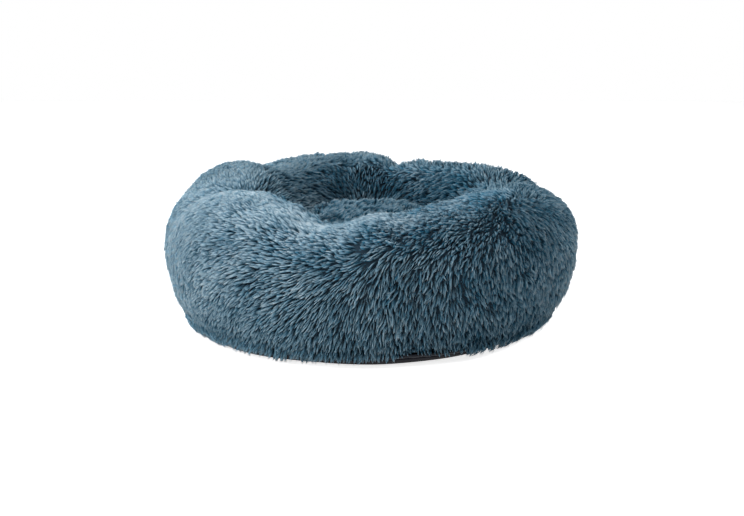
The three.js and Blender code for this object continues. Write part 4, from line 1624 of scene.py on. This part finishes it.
class BED_OT_zip(bpy.types.Operator):
    """Make the zip's tapes, teeth, stops, slider and pull"""

    bl_idname = "bed.zip"
    bl_label = "Zip"

    def execute(self, context):
        plastic = ("zip_plastic", "moulded acetal teeth")
        metal = ("zip_metal", "lacquered die-cast zinc")
        for side in ("front", "rear"):
            self.rounded(f"zip_tape_{side}", f"zip_cloth_tape_{side}", 0.2, "zip_tape", "woven zip tape")
            self.rounded(f"zip_teeth_{side}", f"zip_row_{side}", 0.12, *plastic)
            self.rounded(f"zip_top_stop_{side}", f"zip_end_stop_{side}", 0.3, *plastic)
        self.rounded("zip_bottom_stop", "zip_box_stop", 0.3, *plastic)
        self.rounded("zip_slider", "zip_runner", 0.22, *metal, "slider")
        self.rounded("zip_pull", "zip_pull_tab", 0.25, *metal, "pull")
        return {"FINISHED"}

    def rounded(self, node, name, width, slot, material, body="bed"):
        """A CAD node's copy with its edges rounded off, the width in millimetres."""
        piece = cad_copy(node, name)
        in_edit_mode(piece, (bpy.ops.mesh.dissolve_limited, {"angle_limit": math.radians(1)}))
        bevelled(piece, width * MM, 2, 40)
        finish_piece(piece, material, body, [node])


# Stage


class BED_OT_stage(bpy.types.Operator):
    """Make the floor, the lights, the surroundings and the camera"""

    bl_idname = "bed.stage"
    bl_label = "Stage"

    def execute(self, context):
        self.floor()
        self.lights()
        self.surroundings()
        self.camera()
        context.scene.view_settings.view_transform = "Standard"
        return {"FINISHED"}

    def floor(self):
        grid = {"x_subdivisions": 4, "y_subdivisions": 4, "size": 5}
        floor = primitive("floor", bpy.ops.mesh.primitive_grid_add, **grid)
        floor.data.materials.append(material_named("pale studio floor"))

    def lights(self):
        for name, place, width, power in LIGHTS:
            light = bpy.data.lights.new(name, "AREA")
            light.shape = "DISK"
            light.size = width
            light.energy = power
            obj = linked_object(name, light)
            obj.location = place
            obj.rotation_euler = (AIM - Vector(place)).to_track_quat("-Z", "Y").to_euler()

    def surroundings(self):
        world = bpy.data.worlds.new("studio")
        world.use_nodes = True
        bpy.context.scene.world = world
        tree = world.node_tree
        levels = {"Factor": seen_directly(tree), "A": 0.02, "B": 1.0}
        strength = add_node(tree, "ShaderNodeMix", {"data_type": "FLOAT"}, levels).outputs["Result"]
        wire(tree, tree.nodes["Background"], {"Color": WHITE, "Strength": strength})

    def camera(self):
        camera = linked_object("camera", bpy.data.cameras.new("camera"))
        camera.data.lens = SENSOR_WIDTH * FOCAL_LENGTH / PHOTO_WIDTH
        camera.data.shift_x = SHIFT_X / PHOTO_WIDTH
        camera.data.shift_y = SHIFT_Y / PHOTO_WIDTH
        back = Vector((0, -math.cos(CAMERA_HEIGHT), math.sin(CAMERA_HEIGHT)))
        camera.location = AIM + back * CAMERA_DISTANCE
        camera.rotation_euler = (-back).to_track_quat("-Z", "Y").to_euler()
        bpy.context.scene.camera = camera


class BED_PT_pieces(bpy.types.Panel):
    """Pieces, sizes and colours of the pet bed"""

    bl_label = "Pet bed"
    bl_space_type = "VIEW_3D"
    bl_region_type = "UI"
    bl_category = "Pet bed"

    def draw(self, context):
        for operator in OPERATORS:
            self.layout.operator(operator.bl_idname)
        for group in (context.scene.bed_sizes, context.scene.bed_colours):
            column = self.layout.column()
            for name in group.__annotations__:
                column.prop(group, name)


OPERATORS = (
    BED_OT_stage,
    BED_OT_bolster_body,
    BED_OT_cushion_body,
    BED_OT_bolster_pile,
    BED_OT_cushion_pile,
    BED_OT_base,
    BED_OT_zip,
)
CLASSES = (BedSizes, BedColours, *OPERATORS, BED_PT_pieces)


def register():
    for made in CLASSES:
        bpy.utils.register_class(made)
    bpy.types.Scene.bed_sizes = bpy.props.PointerProperty(type=BedSizes)
    bpy.types.Scene.bed_colours = bpy.props.PointerProperty(type=BedColours)


def unregister():
    del bpy.types.Scene.bed_colours
    del bpy.types.Scene.bed_sizes
    for made in reversed(CLASSES):
        bpy.utils.unregister_class(made)


def main():
    register()
    bpy.ops.bed.stage()
    bpy.ops.bed.bolster_body()
    bpy.ops.bed.cushion_body()
    bpy.ops.bed.bolster_pile()
    bpy.ops.bed.cushion_pile()
    bpy.ops.bed.base()
    bpy.ops.bed.zip()


if __name__ == "__main__":
    main()
